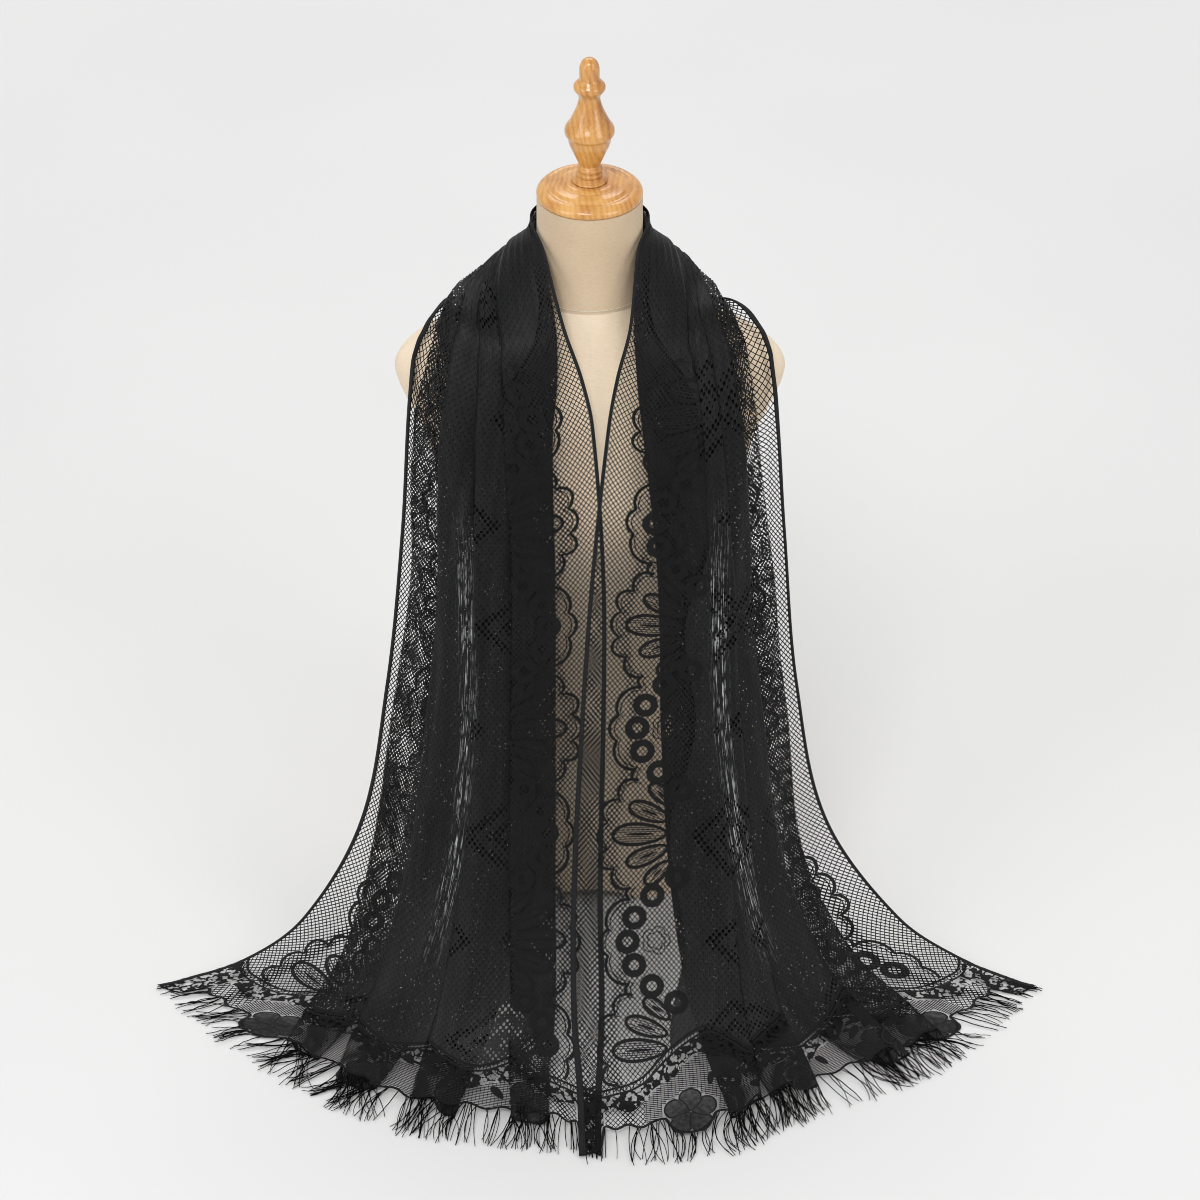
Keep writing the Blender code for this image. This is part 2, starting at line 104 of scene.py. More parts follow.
# The four long folds of each half: share, depth, creases and tucks of the left half, creases and
# tucks of the right half, measured across from the neck edge
FOLDS = (
    (0.00, 4.0, (62, 86, 110, 134), (8, 29, 50, 71), (62, 86, 110, 134), (8, 29, 50, 71)),
    (0.12, 4.4, (62, 86, 110, 134), (8, 29, 50, 71), (62, 86, 110, 134), (8, 29, 50, 71)),
    (0.20, 8.0, (60, 83, 107, 130), (10, 31, 52, 73), (58, 78, 98, 118), (8, 28, 48, 68)),
    (0.25, 7.0, (70, 94, 122, 148), (23, 44, 66, 88), (72, 92, 112, 132), (20, 40, 60, 80)),
    (0.30, 7.0, (80, 106, 138, 168), (38, 58, 80, 104), (86, 106, 125, 144), (34, 53, 72, 91)),
    (0.45, 7.0, (84, 118, 158, 190), (46, 68, 94, 122), (108, 132, 156, 180), (62, 84, 106, 128)),
    (0.60, 6.5, (87, 126, 176, 214), (47, 72, 104, 140), (128, 154, 184, 213), (76, 98, 124, 150)),
    (0.75, 6.0, (86, 134, 196, 242), (45, 80, 124, 172), (146, 178, 218, 252), (92, 118, 150, 188)),
    (0.87, 4.8, (86, 154, 226, 276), (46, 98, 160, 220), (158, 196, 262, 298), (110, 140, 200, 246)),
    (1.00, 2.6, (87, 183, 262, 325), (51, 137, 219, 288), (178, 236, 332, 374), (142, 190, 290, 338)),
)
FOLD_RADIUS = 1.1
# Points round each crease and tuck, and points along a section
FOLD_STEPS, SECTION_STEPS = 9, 1600
# Between these shares the two edges sink to the level of the lowest layer
EDGE_DROP_FROM, EDGE_DROP_TO = 0.60, 0.94
# The right half's inner edge laps over the left one: its rise, the shares over which that grows, and
# the distances from the edge at which it begins and ends to fall
LAP_RISE, LAP_FROM, LAP_TO, LAP_FULL, LAP_END = 2.6, 0.22, 0.32, 34.0, 50.0
# The creases are rounder along the middle of each half: share and radius
CREASE_RADII = ((0.0, 2.4), (0.20, 2.6), (0.45, 2.8), (0.75, 2.4), (0.90, 1.5), (1.0, 1.1))

# Soft troughs and ridges in the hung cloth. half: 1 left, -1 right; part of the section's width at
# the upper and the lower end; shares of the half length at which it starts and dies away; its width
# and its height in millimetres, which CREASE_GAIN multiplies
SOFT_CREASES = (
    (1, 0.40, 0.30, 0.16, 0.52, 8.0, 1.5),
    (1, 0.52, 0.44, 0.20, 0.68, 7.0, -1.3),
    (1, 0.63, 0.52, 0.17, 0.44, 9.0, 1.4),
    (1, 0.74, 0.70, 0.26, 0.83, 8.0, -1.6),
    (1, 0.84, 0.79, 0.22, 0.60, 6.0, 1.2),
    (1, 0.47, 0.36, 0.50, 0.97, 12.0, 1.8),
    (1, 0.60, 0.55, 0.55, 0.95, 14.0, -1.6),
    (1, 0.71, 0.63, 0.60, 0.98, 11.0, 1.5),
    (1, 0.28, 0.24, 0.46, 0.80, 9.0, -1.2),
    (1, 0.90, 0.87, 0.50, 0.93, 12.0, 1.4),
    (-1, 0.44, 0.36, 0.18, 0.47, 7.0, 1.4),
    (-1, 0.56, 0.50, 0.17, 0.66, 8.0, -1.5),
    (-1, 0.67, 0.60, 0.24, 0.57, 7.0, 1.2),
    (-1, 0.78, 0.74, 0.20, 0.78, 9.0, -1.4),
    (-1, 0.88, 0.83, 0.30, 0.62, 6.0, 1.2),
    (-1, 0.50, 0.43, 0.52, 0.96, 13.0, 1.7),
    (-1, 0.62, 0.58, 0.49, 0.92, 10.0, -1.5),
    (-1, 0.75, 0.68, 0.62, 0.98, 12.0, 1.6),
    (-1, 0.37, 0.31, 0.42, 0.84, 11.0, -1.2),
    (-1, 0.91, 0.88, 0.54, 0.90, 12.0, 1.3),
)
CREASE_GAIN = 2.3
# Shares over which they sink to a quarter by the hem, and distances from the neck edge over which
# they grow
CREASE_LOW, CREASE_CLEAR = (0.86, 0.98), (48.0, 66.0)

# Fine gathers where the cloth is drawn in round the neck: height, spacing, the shares of the half
# length over which they die away, and those over which they leave the neck edge
GATHER_HEIGHT, GATHER_SPACING = 0.95, 8.6
GATHER_END, GATHER_ALL_ACROSS = (0.13, 0.46), (0.10, 0.16)

# The lace's repeat along its two long edges: fans and groups of rings by turns
REPEAT = 199.0
FIRST_MOTIF = 88.0
# No motif's middle is nearer the centre back than the first of these lengths, nor along the neck edge
# than the second
MOTIFS_FROM, SHOWN_FROM = 50.0, 190.0
# Petals of a fan: angle at its focus, distance of the middle, length, width and slit length
FAN_FOCUS = 118.0
FAN_PETALS = (
    (0.0, 58.0, 52.0, 22.0, 26.0),
    (21.8, 54.0, 42.0, 18.0, 17.0),
    (-21.8, 54.0, 42.0, 18.0, 17.0),
    (42.4, 54.0, 32.0, 16.0, 10.0),
    (-42.4, 54.0, 32.0, 16.0, 10.0),
)
# A petal's rim and the bar along its middle; its ribs' spacing and width
PETAL_RIM, PETAL_BAR = 3.2, 2.6
PETAL_RIB_SPACING, PETAL_RIB = 2.1, 0.85
# Rings of a group: inset and distance along the edge from the group's middle
RINGS = ((52, 0), (58, 22), (58, -22), (74, 42), (74, -42), (96, 58), (96, -58))
RING_OUTER, RING_INNER = 11.3, 4.7
# Notches of the scalloped cloud line round each motif: inset and distance along the edge
FAN_CLOUD = ((56, 50), (40, 33), (30, 12), (30, -12), (38, -31), (54, -50))
RING_CLOUD = ((54, 50), (54, 39), (34, 12), (34, -12), (54, -39), (54, -50))
FAN_BULGE = (9.0, 10.0, 8.0, 10.0, 9.0)
RING_BULGE = (4.0, 10.0, 7.0, 10.0, 4.0)
# The cloud line's two cords: distance outside the notches and width
CLOUD_CORDS = ((0.0, 2.9), (4.4, 1.0))
# The small rosette in a group of rings: inset of its middle, the radii of its two rounds, and its
# lobes' waist and power
ROSETTE_INSET, ROSETTE_RADII, ROSETTE_LOBES = 78.0, (13.0, 8.5), (0.72, 0.6)
# Curling stems beyond a motif: inset and place along the edge of the curl, radius, turns, start angle
STEMS = (
    (128.0, 26.0, 15.0, 1.6, 0.4), (128.0, -26.0, 15.0, -1.6, -0.4), (158.0, 2.0, 19.0, 1.7, 2.2),
    (176.0, 38.0, 13.0, -1.5, 1.0), (176.0, -34.0, 13.0, 1.5, -1.0), (112.0, 0.0, 9.0, 1.4, 3.0),
)
# Nested lozenges of small openings in the dense ground: whether it lies between two fans, inset of
# its middle, half its depth and half its width
LOZENGES = (
    (False, 148.0, 46.0, 50.0), (True, 176.0, 62.0, 46.0), (False, 262.0, 56.0, 44.0),
    (True, 318.0, 50.0, 40.0),
)

# The ladder braid above each hem: inset and rise of its middle, from the long edge to the middle
LADDER = (
    (0, 60), (12, 51), (24, 49), (58, 59), (84, 82), (110, 99), (125, 103), (140, 95), (165, 74),
    (200, 60), (238, 76), (272, 97), (301, 106), (330, 97), (364, 76), (400, 62),
)
# Its borders' distance from its middle, and the spacing of its rungs
LADDER_HALF, LADDER_RUNG_SPACING = 3.0, 3.1
# Least distances over the ladder of a cloud line and of the middles of petals, rings and rosettes
CLOUD_CLEAR, PETAL_CLEAR, RING_CLEAR, ROSETTE_CLEAR = 3.0, 7.0, 11.0, 2.0
# The hem's own outline: column and rise, over one half of the width
HEM = (
    (0, -14), (16, -11), (21, -4), (23, 13), (34, 10), (45, 15), (57, 11), (68, 16), (79, 17), (84, 8),
    (92, 2), (102, 0), (112, 2), (120, 8), (125, 17), (137, 17), (152, 11), (168, 16), (184, 11),
    (201, 16), (218, 11), (234, 16), (250, 11), (266, 16), (278, 17), (283, 8), (291, 2), (301, 0),
    (311, 2), (319, 8), (324, 17), (336, 17), (352, 11), (368, 16), (384, 11), (400, 16),
)
FLOWER_COLUMNS = (102.0, 301.0, 499.0, 698.0)
FLOWER_RISE, FLOWER_RADIUS, FLOWER_LOBES = 23.0, 24.5, (0.64, 0.55)
# Widths from the long edge: the hem's filled corner, and the end of the net patch beside it
HEM_CORNER, HEM_NET_END = 23.0, 62.0
# Small leaves above the hem, on both halves of its width: column, rise, size, lean
HEM_LEAVES = (
    (132, 62, 9, 0.9), (146, 54, 9, -0.6), (122, 56, 7, 0.2), (176, 34, 9, 0.7), (226, 36, 9, -0.7),
    (262, 60, 9, 0.5), (276, 66, 7, -0.9), (330, 62, 9, 0.6), (346, 50, 9, -0.8), (388, 34, 8, 0.4),
)

# The ground's sheets reach from this column to this distance from the outer edge, and to this rise
GROUND_FROM, GROUND_TO, GROUND_END = 10.0, 80.0, 48.0
# They run on this far past the ground's own edge
GROUND_SPARE = 6.0
# Painted highlights along the ribs, a lighter colour that stands in for light caught by shiny threads:
# shares over which they begin and end, and half the width, in parts of the section
PAINTED_HIGHLIGHT_FROM, PAINTED_HIGHLIGHT_TO, PAINTED_HIGHLIGHT_HALF = (0.34, 0.50), (0.72, 0.86), 0.036
# Heights of the lace's parts over its ground
RIB_LIFT, PETAL_RIB_LIFT, ROSETTE_LIFT, CORD_LIFT = 0.10, 0.15, 0.20, 0.25
MOTIF_LIFT, FLOWER_LIFT, LEAF_LIFT, VEIN_LIFT = 0.30, 0.35, 0.40, 0.50
# Scrolls stand beyond the motifs of the outer edge, up to this share of the half length
SCROLLS_END = 0.8

# The dense ground begins at this inset, and its edge waves with the motifs
GROUND_INSET, GROUND_SCALLOP = 96.0, 8.0
# It begins nearer the neck edge by the neck: its inset at the centre back and where the cloth leaves
# the neck, the lengths between these, and those over which it moves to its place down the fronts
BACK_GROUND_INSET, NECK_GROUND_INSET = 4.0, 16.0
BACK_GROUND, NECK_GROUND = (60.0, 130.0), (150.0, 300.0)
# Its lacier reach along the outer edge: shares over which it begins, insets over which it ends
LACY_FROM, LACY_TO = (0.16, 0.30), (192.0, 222.0)

# The net: spacing of its crossings across and along, its thread's width, and its reach from an edge
NET_ACROSS, NET_ALONG = 2.25, 2.70
NET_THREAD, NET_THREAD_FILLED = 0.78, 1.20
NET_REACH = 126.0
# The heavier thread inside the cloud lines: its inset, how far that waves with the motifs, and the
# distances over which it begins and ends
HEAVY_INSET, HEAVY_WAVE, HEAVY_BEGINS, HEAVY_ENDS = 36.0, 8.0, (0.0, 2.0), (9.0, 13.0)
# Lengths over which the drawn-in net at the neck, three times as heavy, comes to its own thread
NET_DRAWN_IN = (95.0, 175.0)
# The open strip past the last fold is pulled wide: share, columns for each millimetre
STRIP_RATES = ((0.08, 1.0), (0.20, 0.45), (0.33, 0.42), (0.45, 0.72), (0.80, 0.75), (0.92, 1.0))
# It slopes back from the folds, and its net slips to the hem: share, columns, slip for each column
STRIP_SLIP = (
    (0.0, 40.0, 0.0), (0.14, 30.0, 0.10), (0.20, 18.0, 0.60), (0.25, 18.0, 1.25), (0.30, 20.6, 2.10),
    (0.37, 20.0, 1.60), (0.45, 19.4, 1.08), (0.60, 18.4, 0.90), (0.75, 36.0, 0.62), (0.84, 51.0, 0.33),
    (0.93, 80.0, 0.0), (1.1, 80.0, 0.0),
)
# Its threads are drawn out into heavier twists
STRIP_THREAD_GAIN = 1.25

# Fringe threads at each hem, their length, and the sides and steps of each
FRINGE_THREADS, FRINGE_LENGTH = 250, 30.0
FRINGE_SIDES, FRINGE_STEPS = 3, 8
# Their spreads: share of the length, sideways lean and bow, height at rest on the table, and radius
THREAD_LENGTHS, THREAD_LEAN, THREAD_BOW = (0.72, 1.08), 0.15, 0.17
THREAD_RESTS, THREAD_RADII, THREAD_TAPER = (0.45, 2.3), (0.50, 0.68), 0.35
# How far they rise on the way, their least height, and the insets over which they grow less stiff
THREAD_HOP, THREAD_LOWEST, THREAD_STIFF = 1.6, 0.35, (24.0, 60.0)

# The dress form's level sections: height, half width, depth to the front and back, squareness
FORM_SECTIONS = (
    (730.0, 46.5, 46.5, 46.5, 2.00),
    (700.0, 46.8, 46.8, 46.8, 2.00),
    (668.0, 48.2, 48.2, 48.2, 2.00),
    (648.0, 51.5, 52.0, 52.0, 2.00),
    (635.0, 60.0, 57.0, 58.0, 1.95),
    (624.0, 79.0, 61.0, 64.0, 1.90),
    (612.0, 103.0, 66.0, 69.0, 1.85),
    (600.0, 128.0, 71.0, 74.0, 1.80),
    (588.0, 151.0, 76.0, 80.0, 1.80),
    (576.0, 167.0, 81.0, 85.0, 1.80),
    (562.0, 175.0, 86.0, 90.0, 1.80),
    (545.0, 174.0, 90.0, 94.0, 1.80),
    (518.0, 163.0, 95.0, 96.0, 1.85),
    (488.0, 150.0, 103.0, 96.0, 1.95),
    (452.0, 142.0, 111.0, 94.0, 2.00),
    (412.0, 136.0, 106.0, 91.0, 2.05),
    (362.0, 123.0, 94.0, 85.0, 2.10),
    (314.0, 115.0, 86.0, 80.0, 2.10),
    (256.0, 124.0, 87.0, 88.0, 2.10),
    (190.0, 141.0, 91.0, 103.0, 2.10),
    (114.0, 152.0, 93.0, 110.0, 2.10),
    (48.0, 152.0, 93.0, 107.0, 2.10),
    (0.0, 149.0, 91.0, 103.0, 2.10),
)
FORM_SIDES = 120
FORM_RING_STEP = 5.0
FORM_TOP = 730.0
# The cover is drawn in round the neck's seam: by this share, over this height
PINCH, PINCH_REACH = 0.010, 2.6
# The arch in the lower front edge: its cut's radius, height, back and reach from there to the front
ARCH_RADIUS, ARCH_HEIGHT, ARCH_BACK, ARCH_REACH = 78.0, 16.0, -35.0, 120.0
NECK_SEAM_HEIGHT = 641.0
# Angles of the sewn lines down the form: centre front, centre back and the sides
SEAM_ANGLES = (-math.pi / 2.0, math.pi / 2.0, 0.0, math.pi)
# Stitches: their count round the neck and height over its seam, their spacing down the form and
# angle beside a seam, and each one's rings from end to end: place along it, half width and lift
NECK_STITCHES, STITCH_OVER_SEAM = 150, 2.4
STITCH_SPACING, STITCH_BESIDE = 4.2, 0.012
STITCH_RINGS = ((-0.05, 0.12, 0.0), (0.5, 0.32, 0.18), (1.5, 0.32, 0.18), (2.05, 0.12, 0.0))
# A sewn ridge's lowest point and steps, and its section: distance across and height over the cover
SEAM_BOTTOM, SEAM_STEP, NECK_SEAM_STEPS = 18.0, 6.0, 120
SEAM_SECTION = ((-1.1, -0.25), (-0.5, 0.22), (0.0, 0.02), (0.5, 0.22), (1.1, -0.25))

# Turned wood: radius and height over the bottom
CAP_BOTTOM = 730.3
CAP_PROFILE = (
    (0.0, 14.2), (20.0, 14.2), (22.6, 12.9), (24.2, 11.9), (26.0, 12.9), (33.0, 11.8),
    (35.4, 9.6), (37.2, 9.0), (39.2, 9.8), (43.0, 8.2), (46.0, 5.4), (47.0, 2.8), (46.4, 0.0), (0.0, 0.0),
)
FINIAL_BOTTOM = 744.8
FINIAL_PROFILE = (
    (0.0, 118.2), (3.6, 117.4), (6.8, 114.6), (8.8, 109.4), (8.8, 98.4), (10.2, 96.4), (13.9, 92.4),
    (13.9, 88.6), (10.0, 83.6), (9.2, 79.6), (11.4, 71.0), (17.0, 58.4), (21.8, 51.4), (21.8, 46.0),
    (19.4, 43.6), (18.2, 36.6), (13.4, 25.4), (8.9, 15.6), (11.4, 13.4), (11.4, 10.8), (9.8, 9.8),
    (11.6, 8.4), (11.6, 5.8), (10.6, 4.8), (17.2, 0.0), (0.0, 0.0),
)
TURNED_SIDES = 96

# The camera's focal length, place in metres, and angle below level in degrees
CAMERA_LENS, CAMERA_PLACE, CAMERA_LOOKS_DOWN = 108.0, (0.00903, -2.76925, 2.2667), 35.45
# Lamps, in metres and watts: name, place, target, size, power
LAMPS = (
    ("key", (-0.6, -2.6, 3.7), (0.0, -0.1, 0.35), (1.3, 1.3), 56.0),
    ("left", (-2.4, -1.9, 1.9), (0.0, -0.1, 0.4), (1.4, 2.0), 22.0),
    ("right", (2.4, -2.1, 1.9), (0.0, -0.1, 0.4), (1.4, 2.0), 26.0),
    ("top", (0.0, 2.8, 4.2), (0.0, 1.9, 0.0), (4.0, 2.0), 85.0),
)
# The even light from all round: grey and strength
SKY_GREY, SKY_STRENGTH = 0.95, 0.60
# The floor's reach to the left, front, right and back, and its level
FLOOR_LEFT, FLOOR_FRONT, FLOOR_RIGHT, FLOOR_BACK = -9000, -7000, 9000, 9000
FLOOR_LEVEL = -0.3

chance = np.random.default_rng(7)


# The camera

def add_camera():
    data = bpy.data.cameras.new("camera")
    data.lens = CAMERA_LENS
    data.sensor_width = 36.0
    data.clip_end = 60.0
    camera = bpy.data.objects.new("camera", data)
    camera.location = CAMERA_PLACE
    camera.rotation_euler = (math.radians(90.0 - CAMERA_LOOKS_DOWN), 0.0, 0.0)
    bpy.context.scene.collection.objects.link(camera)
    bpy.context.scene.camera = camera


# Curves and the cloth's surface

def smooth_between(knots, values, at):
    """A smooth curve through values at the rising knots, read at each place in at."""
    knots = np.asarray(knots, float)
    values = np.asarray(values, float)
    slopes = np.empty_like(values)
    slopes[1:-1] = (values[2:] - values[:-2]) / (knots[2:] - knots[:-2])[:, None]
    slopes[0] = (values[1] - values[0]) / (knots[1] - knots[0])
    slopes[-1] = (values[-1] - values[-2]) / (knots[-1] - knots[-2])
    at = np.atleast_1d(np.asarray(at, float))
    cell = np.clip(np.searchsorted(knots, at, side="right") - 1, 0, len(knots) - 2)
    step = (knots[cell + 1] - knots[cell])[:, None]
    t = (at - knots[cell])[:, None] / step
    start, end = values[cell], values[cell + 1]
    return (
        start * (2 * t ** 3 - 3 * t ** 2 + 1) + end * (3 * t ** 2 - 2 * t ** 3)
        + step * slopes[cell] * (t ** 3 - 2 * t ** 2 + t) + step * slopes[cell + 1] * (t ** 3 - t ** 2)
    )


def smooth_step(low, high, value):
    t = np.clip((value - low) / (high - low), 0.0, 1.0)
    return t * t * (3.0 - 2.0 * t)


def unit(vectors):
    """The same directions at length 1."""
    lengths = np.linalg.norm(vectors, axis=-1, keepdims=True)
    return vectors / np.maximum(lengths, 1e-6)


def full_turn(count):
    return np.linspace(0.0, 2.0 * np.pi, count, endpoint=False)


def tube_faces(rings, sides):
    """Quads between closed rings of points that follow each other."""
    index = np.arange((rings - 1) * sides)
    after = index - index % sides + (index + 1) % sides
    return np.stack([index, after, after + sides, index + sides], 1)


def sheet_faces(rows, columns):
    """Quads of an open grid of points, row by row."""
    index = np.arange(rows * columns).reshape(rows, columns)
    corners = [index[:-1, :-1], index[:-1, 1:], index[1:, 1:], index[1:, :-1]]
    return np.stack(corners, -1).reshape(-1, 4)


def strand_table():
    shares, points = [], []
    for side in (-1, 1):
        rows = STRANDS[:0:-1] if side < 0 else STRANDS
        for share, *strands in rows:
            shares.append(side * share)
            column = 1 if side < 0 else 0
            points.append([(strand[column], strand[2], strand[3]) for strand in strands])
    return np.array(shares), np.array(points, float)


STRAND_SHARES, STRAND_POINTS = strand_table()


def base_points(share, parts):
    """Points of the smooth surface that the folds follow, and the section's width."""
    flat = STRAND_POINTS.reshape(len(STRAND_SHARES), -1)
    strands = smooth_between(STRAND_SHARES, flat, share)[0].reshape(-1, 3)
    steps = np.linalg.norm(np.diff(strands, axis=0), axis=1)
    knots = np.concatenate(([0.0], np.cumsum(steps)))
    return smooth_between(knots, strands, np.asarray(parts) * knots[-1]), knots[-1]


def base_frame(share, distances):
    step = 0.002
    width = base_points(share, [0.0])[1]
    parts = distances / width
    points = base_points(share, parts)[0]
    across = base_points(share, parts + step)[0] - base_points(share, parts - step)[0]
    ahead = base_points(min(share + step, 1.0), parts)[0]
    behind = base_points(max(share - step, -1.0), parts)[0]
    normals = np.cross(across, ahead - behind)
    return points, unit(normals), parts


def fold_values(share):
    side = 0 if share >= 0.0 else 1
    table = [[row[1], *row[2 + 2 * side], *row[3 + 2 * side]] for row in FOLDS]
    values = smooth_between([row[0] for row in FOLDS], table, abs(share))[0]
    return values[0], values[1:5], values[5:9]


def fold_path(share, radius):
    """The folded section, as distances across and outward from the smooth surface."""
    depth, creases, tucks = fold_values(share)
    width = base_points(share, [0.0])[1]
    level = -(depth + FOLD_RADIUS) * smooth_step(EDGE_DROP_FROM, EDGE_DROP_TO, abs(share))
    circles = [((0.0, level), 0.0, -1)]
    lift = depth + FOLD_RADIUS - radius
    for crease, tuck in zip(creases, tucks):
        circles.append(((crease - radius, lift), radius, 1))
        circles.append(((tuck + radius, -lift), radius, -1))
    circles.append(((width, level), 0.0, 1))
    directions = []
    for (a, a_radius, turn), (b, b_radius, _) in zip(circles, circles[1:]):
        reach = math.hypot(b[0] - a[0], b[1] - a[1])
        bearing = math.atan2(b[1] - a[1], b[0] - a[0])
        directions.append(bearing - turn * math.asin((a_radius + b_radius) / reach))
    path = [circles[0][0]]
    for index in range(1, len(circles) - 1):
        centre, r, turn = circles[index]
        coming, going = directions[index - 1], directions[index]
        swing = (turn * (coming - going)) % (2.0 * math.pi)
        for part in np.linspace(0.0, 1.0, FOLD_STEPS):
            d = coming - turn * swing * part
            path.append((centre[0] - turn * r * math.sin(d), centre[1] + turn * r * math.cos(d)))
    path.append(circles[-1][0])
    return np.array(path)


def lap_rise(share, distance):
    if share >= 0.0:
        return np.zeros_like(distance)
    grown = smooth_step(LAP_FROM, LAP_TO, -share)
    return LAP_RISE * grown * (1.0 - smooth_step(LAP_FULL, LAP_END, distance))


def soft_rise(share, distance, width):
    """Height of the soft creases. It is the same for every layer at one place across."""
    rise = np.zeros_like(distance)
    for half, upper, lower, start, end, spread, height in SOFT_CREASES:
        if half * share <= 0.0:
            continue
        along = (abs(share) - start) / (end - start)
        if not 0.0 < along < 1.0:
            continue
        middle = (upper + (lower - upper) * along) * width
        grown = math.sin(math.pi * along) ** 1.5
        rise += CREASE_GAIN * height * grown * np.exp(-((distance - middle) / spread) ** 2)
    low = 1.0 - 0.75 * smooth_step(*CREASE_LOW, abs(share))
    clear = smooth_step(*CREASE_CLEAR, distance)
    at_neck = 1.0 - smooth_step(*GATHER_ALL_ACROSS, abs(share))
    turn = 2.0 * np.pi * distance / GATHER_SPACING + 1.4 * np.sin(distance / 15.0)
    height = GATHER_HEIGHT * (1.0 - smooth_step(*GATHER_END, abs(share)))
    return rise * low * clear + height * np.sin(turn) * np.maximum(clear, at_neck)


def strip_rate(share):
    return np.interp(np.abs(share), *zip(*STRIP_RATES))


def section(share, radius):
    """One section's points for evenly spaced columns. What the folds lack of the cloth's width is
    taken up by the layers that run back under them."""
    path = fold_path(share, radius)
    steps = np.linalg.norm(np.diff(path, axis=0), axis=1)
    arc = np.concatenate(([0.0], np.cumsum(steps)))
    # the middle of the fourth crease, after three creases and three tucks
    last_crease = arc[1 + 6 * FOLD_STEPS + FOLD_STEPS // 2]
    along = np.linspace(0.0, arc[-1], SECTION_STEPS)
    across = np.interp(along, arc, path[:, 0])
    outward = np.interp(along, arc, path[:, 1])
    back = np.gradient(across) < 0.0
    in_strip = (along > last_crease) & (across > path[:, 0][:-1].max())
    rate = np.where(in_strip, strip_rate(share), 1.0)
    spare = back & (along < last_crease)
    step = along[1] - along[0]
    rate[spare] = (WIDTH - rate[~spare].sum() * step) / (spare.sum() * step)
    column = np.cumsum(rate) * step
    column = (column - column[0]) / (column[-1] - column[0]) * WIDTH
    at = np.linspace(0.0, WIDTH, round(WIDTH / COLUMN_STEP) + 1)
    across = np.interp(at, column, across)
    outward = np.interp(at, column, outward)
    points, normals, parts = base_frame(share, across)
    width = base_points(share, [0.0])[1]
    rise = lap_rise(share, across) + soft_rise(share, across, width)
    return points + normals * (outward + rise)[:, None], parts


def cloth_grid():
    """Points of the whole cloth, row by row from the right hem to the left one, and their normals.
    Some rows beyond each hem run on over the table."""
    lengths = np.arange(-HALF_LENGTH, HALF_LENGTH + 0.1, LENGTH_STEP)
    knots, radii = zip(*CREASE_RADII)
    rows, parts = [], []
    for length in lengths:
        share = length / HALF_LENGTH
        points, across = section(share, float(np.interp(abs(share), knots, radii)))
        rows.append(points)
        parts.append(across)
    grid = np.array(rows)
    parts = np.pad(np.array(parts), ((ROWS_BEYOND, ROWS_BEYOND), (0, 0)), mode="edge")
    beyond = []
    for end, inner in ((0, 4), (-1, -5)):
        away = unit((grid[end] - grid[inner]) * LEVEL_ONLY)
        extra = []
        for index in range(1, ROWS_BEYOND + 1):
            row = grid[end] + away * LENGTH_STEP * index
            low = min(index / ROWS_TO_LEVEL, 1.0)
            row[:, 2] = row[:, 2] * (1.0 - low) + LEVEL_BEYOND * low
            extra.append(row)
        beyond.append(np.array(extra))
    grid = np.concatenate([beyond[0][::-1], grid, beyond[1]])
    normals = unit(np.cross(np.gradient(grid, axis=1), np.gradient(grid, axis=0)))
    return grid, normals, parts[..., None]


GRID, GRID_NORMALS, GRID_PARTS = cloth_grid()
FIRST_LENGTH = -HALF_LENGTH - ROWS_BEYOND * LENGTH_STEP


def read_grid(table, columns, lengths):
    x = np.clip(np.asarray(columns, float) / COLUMN_STEP, 0.0, GRID.shape[1] - 1.001)
    y = np.clip((np.asarray(lengths, float) - FIRST_LENGTH) / LENGTH_STEP, 0.0, GRID.shape[0] - 1.001)
    j, i = x.astype(int), y.astype(int)
    right, up = (x - j)[..., None], (y - i)[..., None]
    low = table[i, j] * (1.0 - right) + table[i, j + 1] * right
    high = table[i + 1, j] * (1.0 - right) + table[i + 1, j + 1] * right
    return low * (1.0 - up) + high * up


def on_cloth(columns, lengths, lift=0.0):
    """Points of the hung cloth, in millimetres, at places of the flat one."""
    normals = unit(read_grid(GRID_NORMALS, columns, lengths))
    return read_grid(GRID, columns, lengths) + normals * np.asarray(lift, float)[..., None]


# The lace's chart

def inset(column):
    return np.minimum(column, WIDTH - column)


def rise_of(length):
    return HALF_LENGTH - np.abs(length)


def share_of(length):
    """Share of the half length: 0 at the centre back, 1 at a hem."""
    return np.abs(length) / HALF_LENGTH


def curve_through(table):
    """A smooth curve through a table of two columns, as closely spaced places and values."""
    knots = [row[0] for row in table]
    values = [[row[1]] for row in table]
    places = np.arange(knots[0], knots[-1] + 0.5, 1.0)
    return places, smooth_between(knots, values, places)[:, 0]


LADDER_PLACES, LADDER_RISES = curve_through(LADDER)
HEM_PLACES, HEM_RISES = curve_through(HEM)


def ladder_rise(column):
    return np.interp(inset(column), LADDER_PLACES, LADDER_RISES)


def hem_rise(column):
    return np.interp(inset(column), HEM_PLACES, HEM_RISES)


def fan_phase(column, length):
    """1 in the middle of a fan and -1 in the middle of a group of rings."""
    fans_first = (column > WIDTH / 2.0) == (length >= 0.0)
    start = np.where(fans_first, FIRST_MOTIF, FIRST_MOTIF + REPEAT / 2.0)
    return np.cos(2.0 * np.pi * (rise_of(length) - start) / REPEAT)


def ground_inset(column, length):
    """How far in from the long edge the dense ground begins. It comes closer to the neck edge where
    the cloth is gathered round the neck."""
    begins = GROUND_INSET - GROUND_SCALLOP * fan_phase(column, length)
    drawn_in = 1.0 - smooth_step(*NECK_GROUND, np.abs(length))
    leaving = smooth_step(*BACK_GROUND, np.abs(length))
    nearest = BACK_GROUND_INSET + (NECK_GROUND_INSET - BACK_GROUND_INSET) * leaving
    return np.where(column < WIDTH / 2.0, begins + (nearest - begins) * drawn_in, begins)


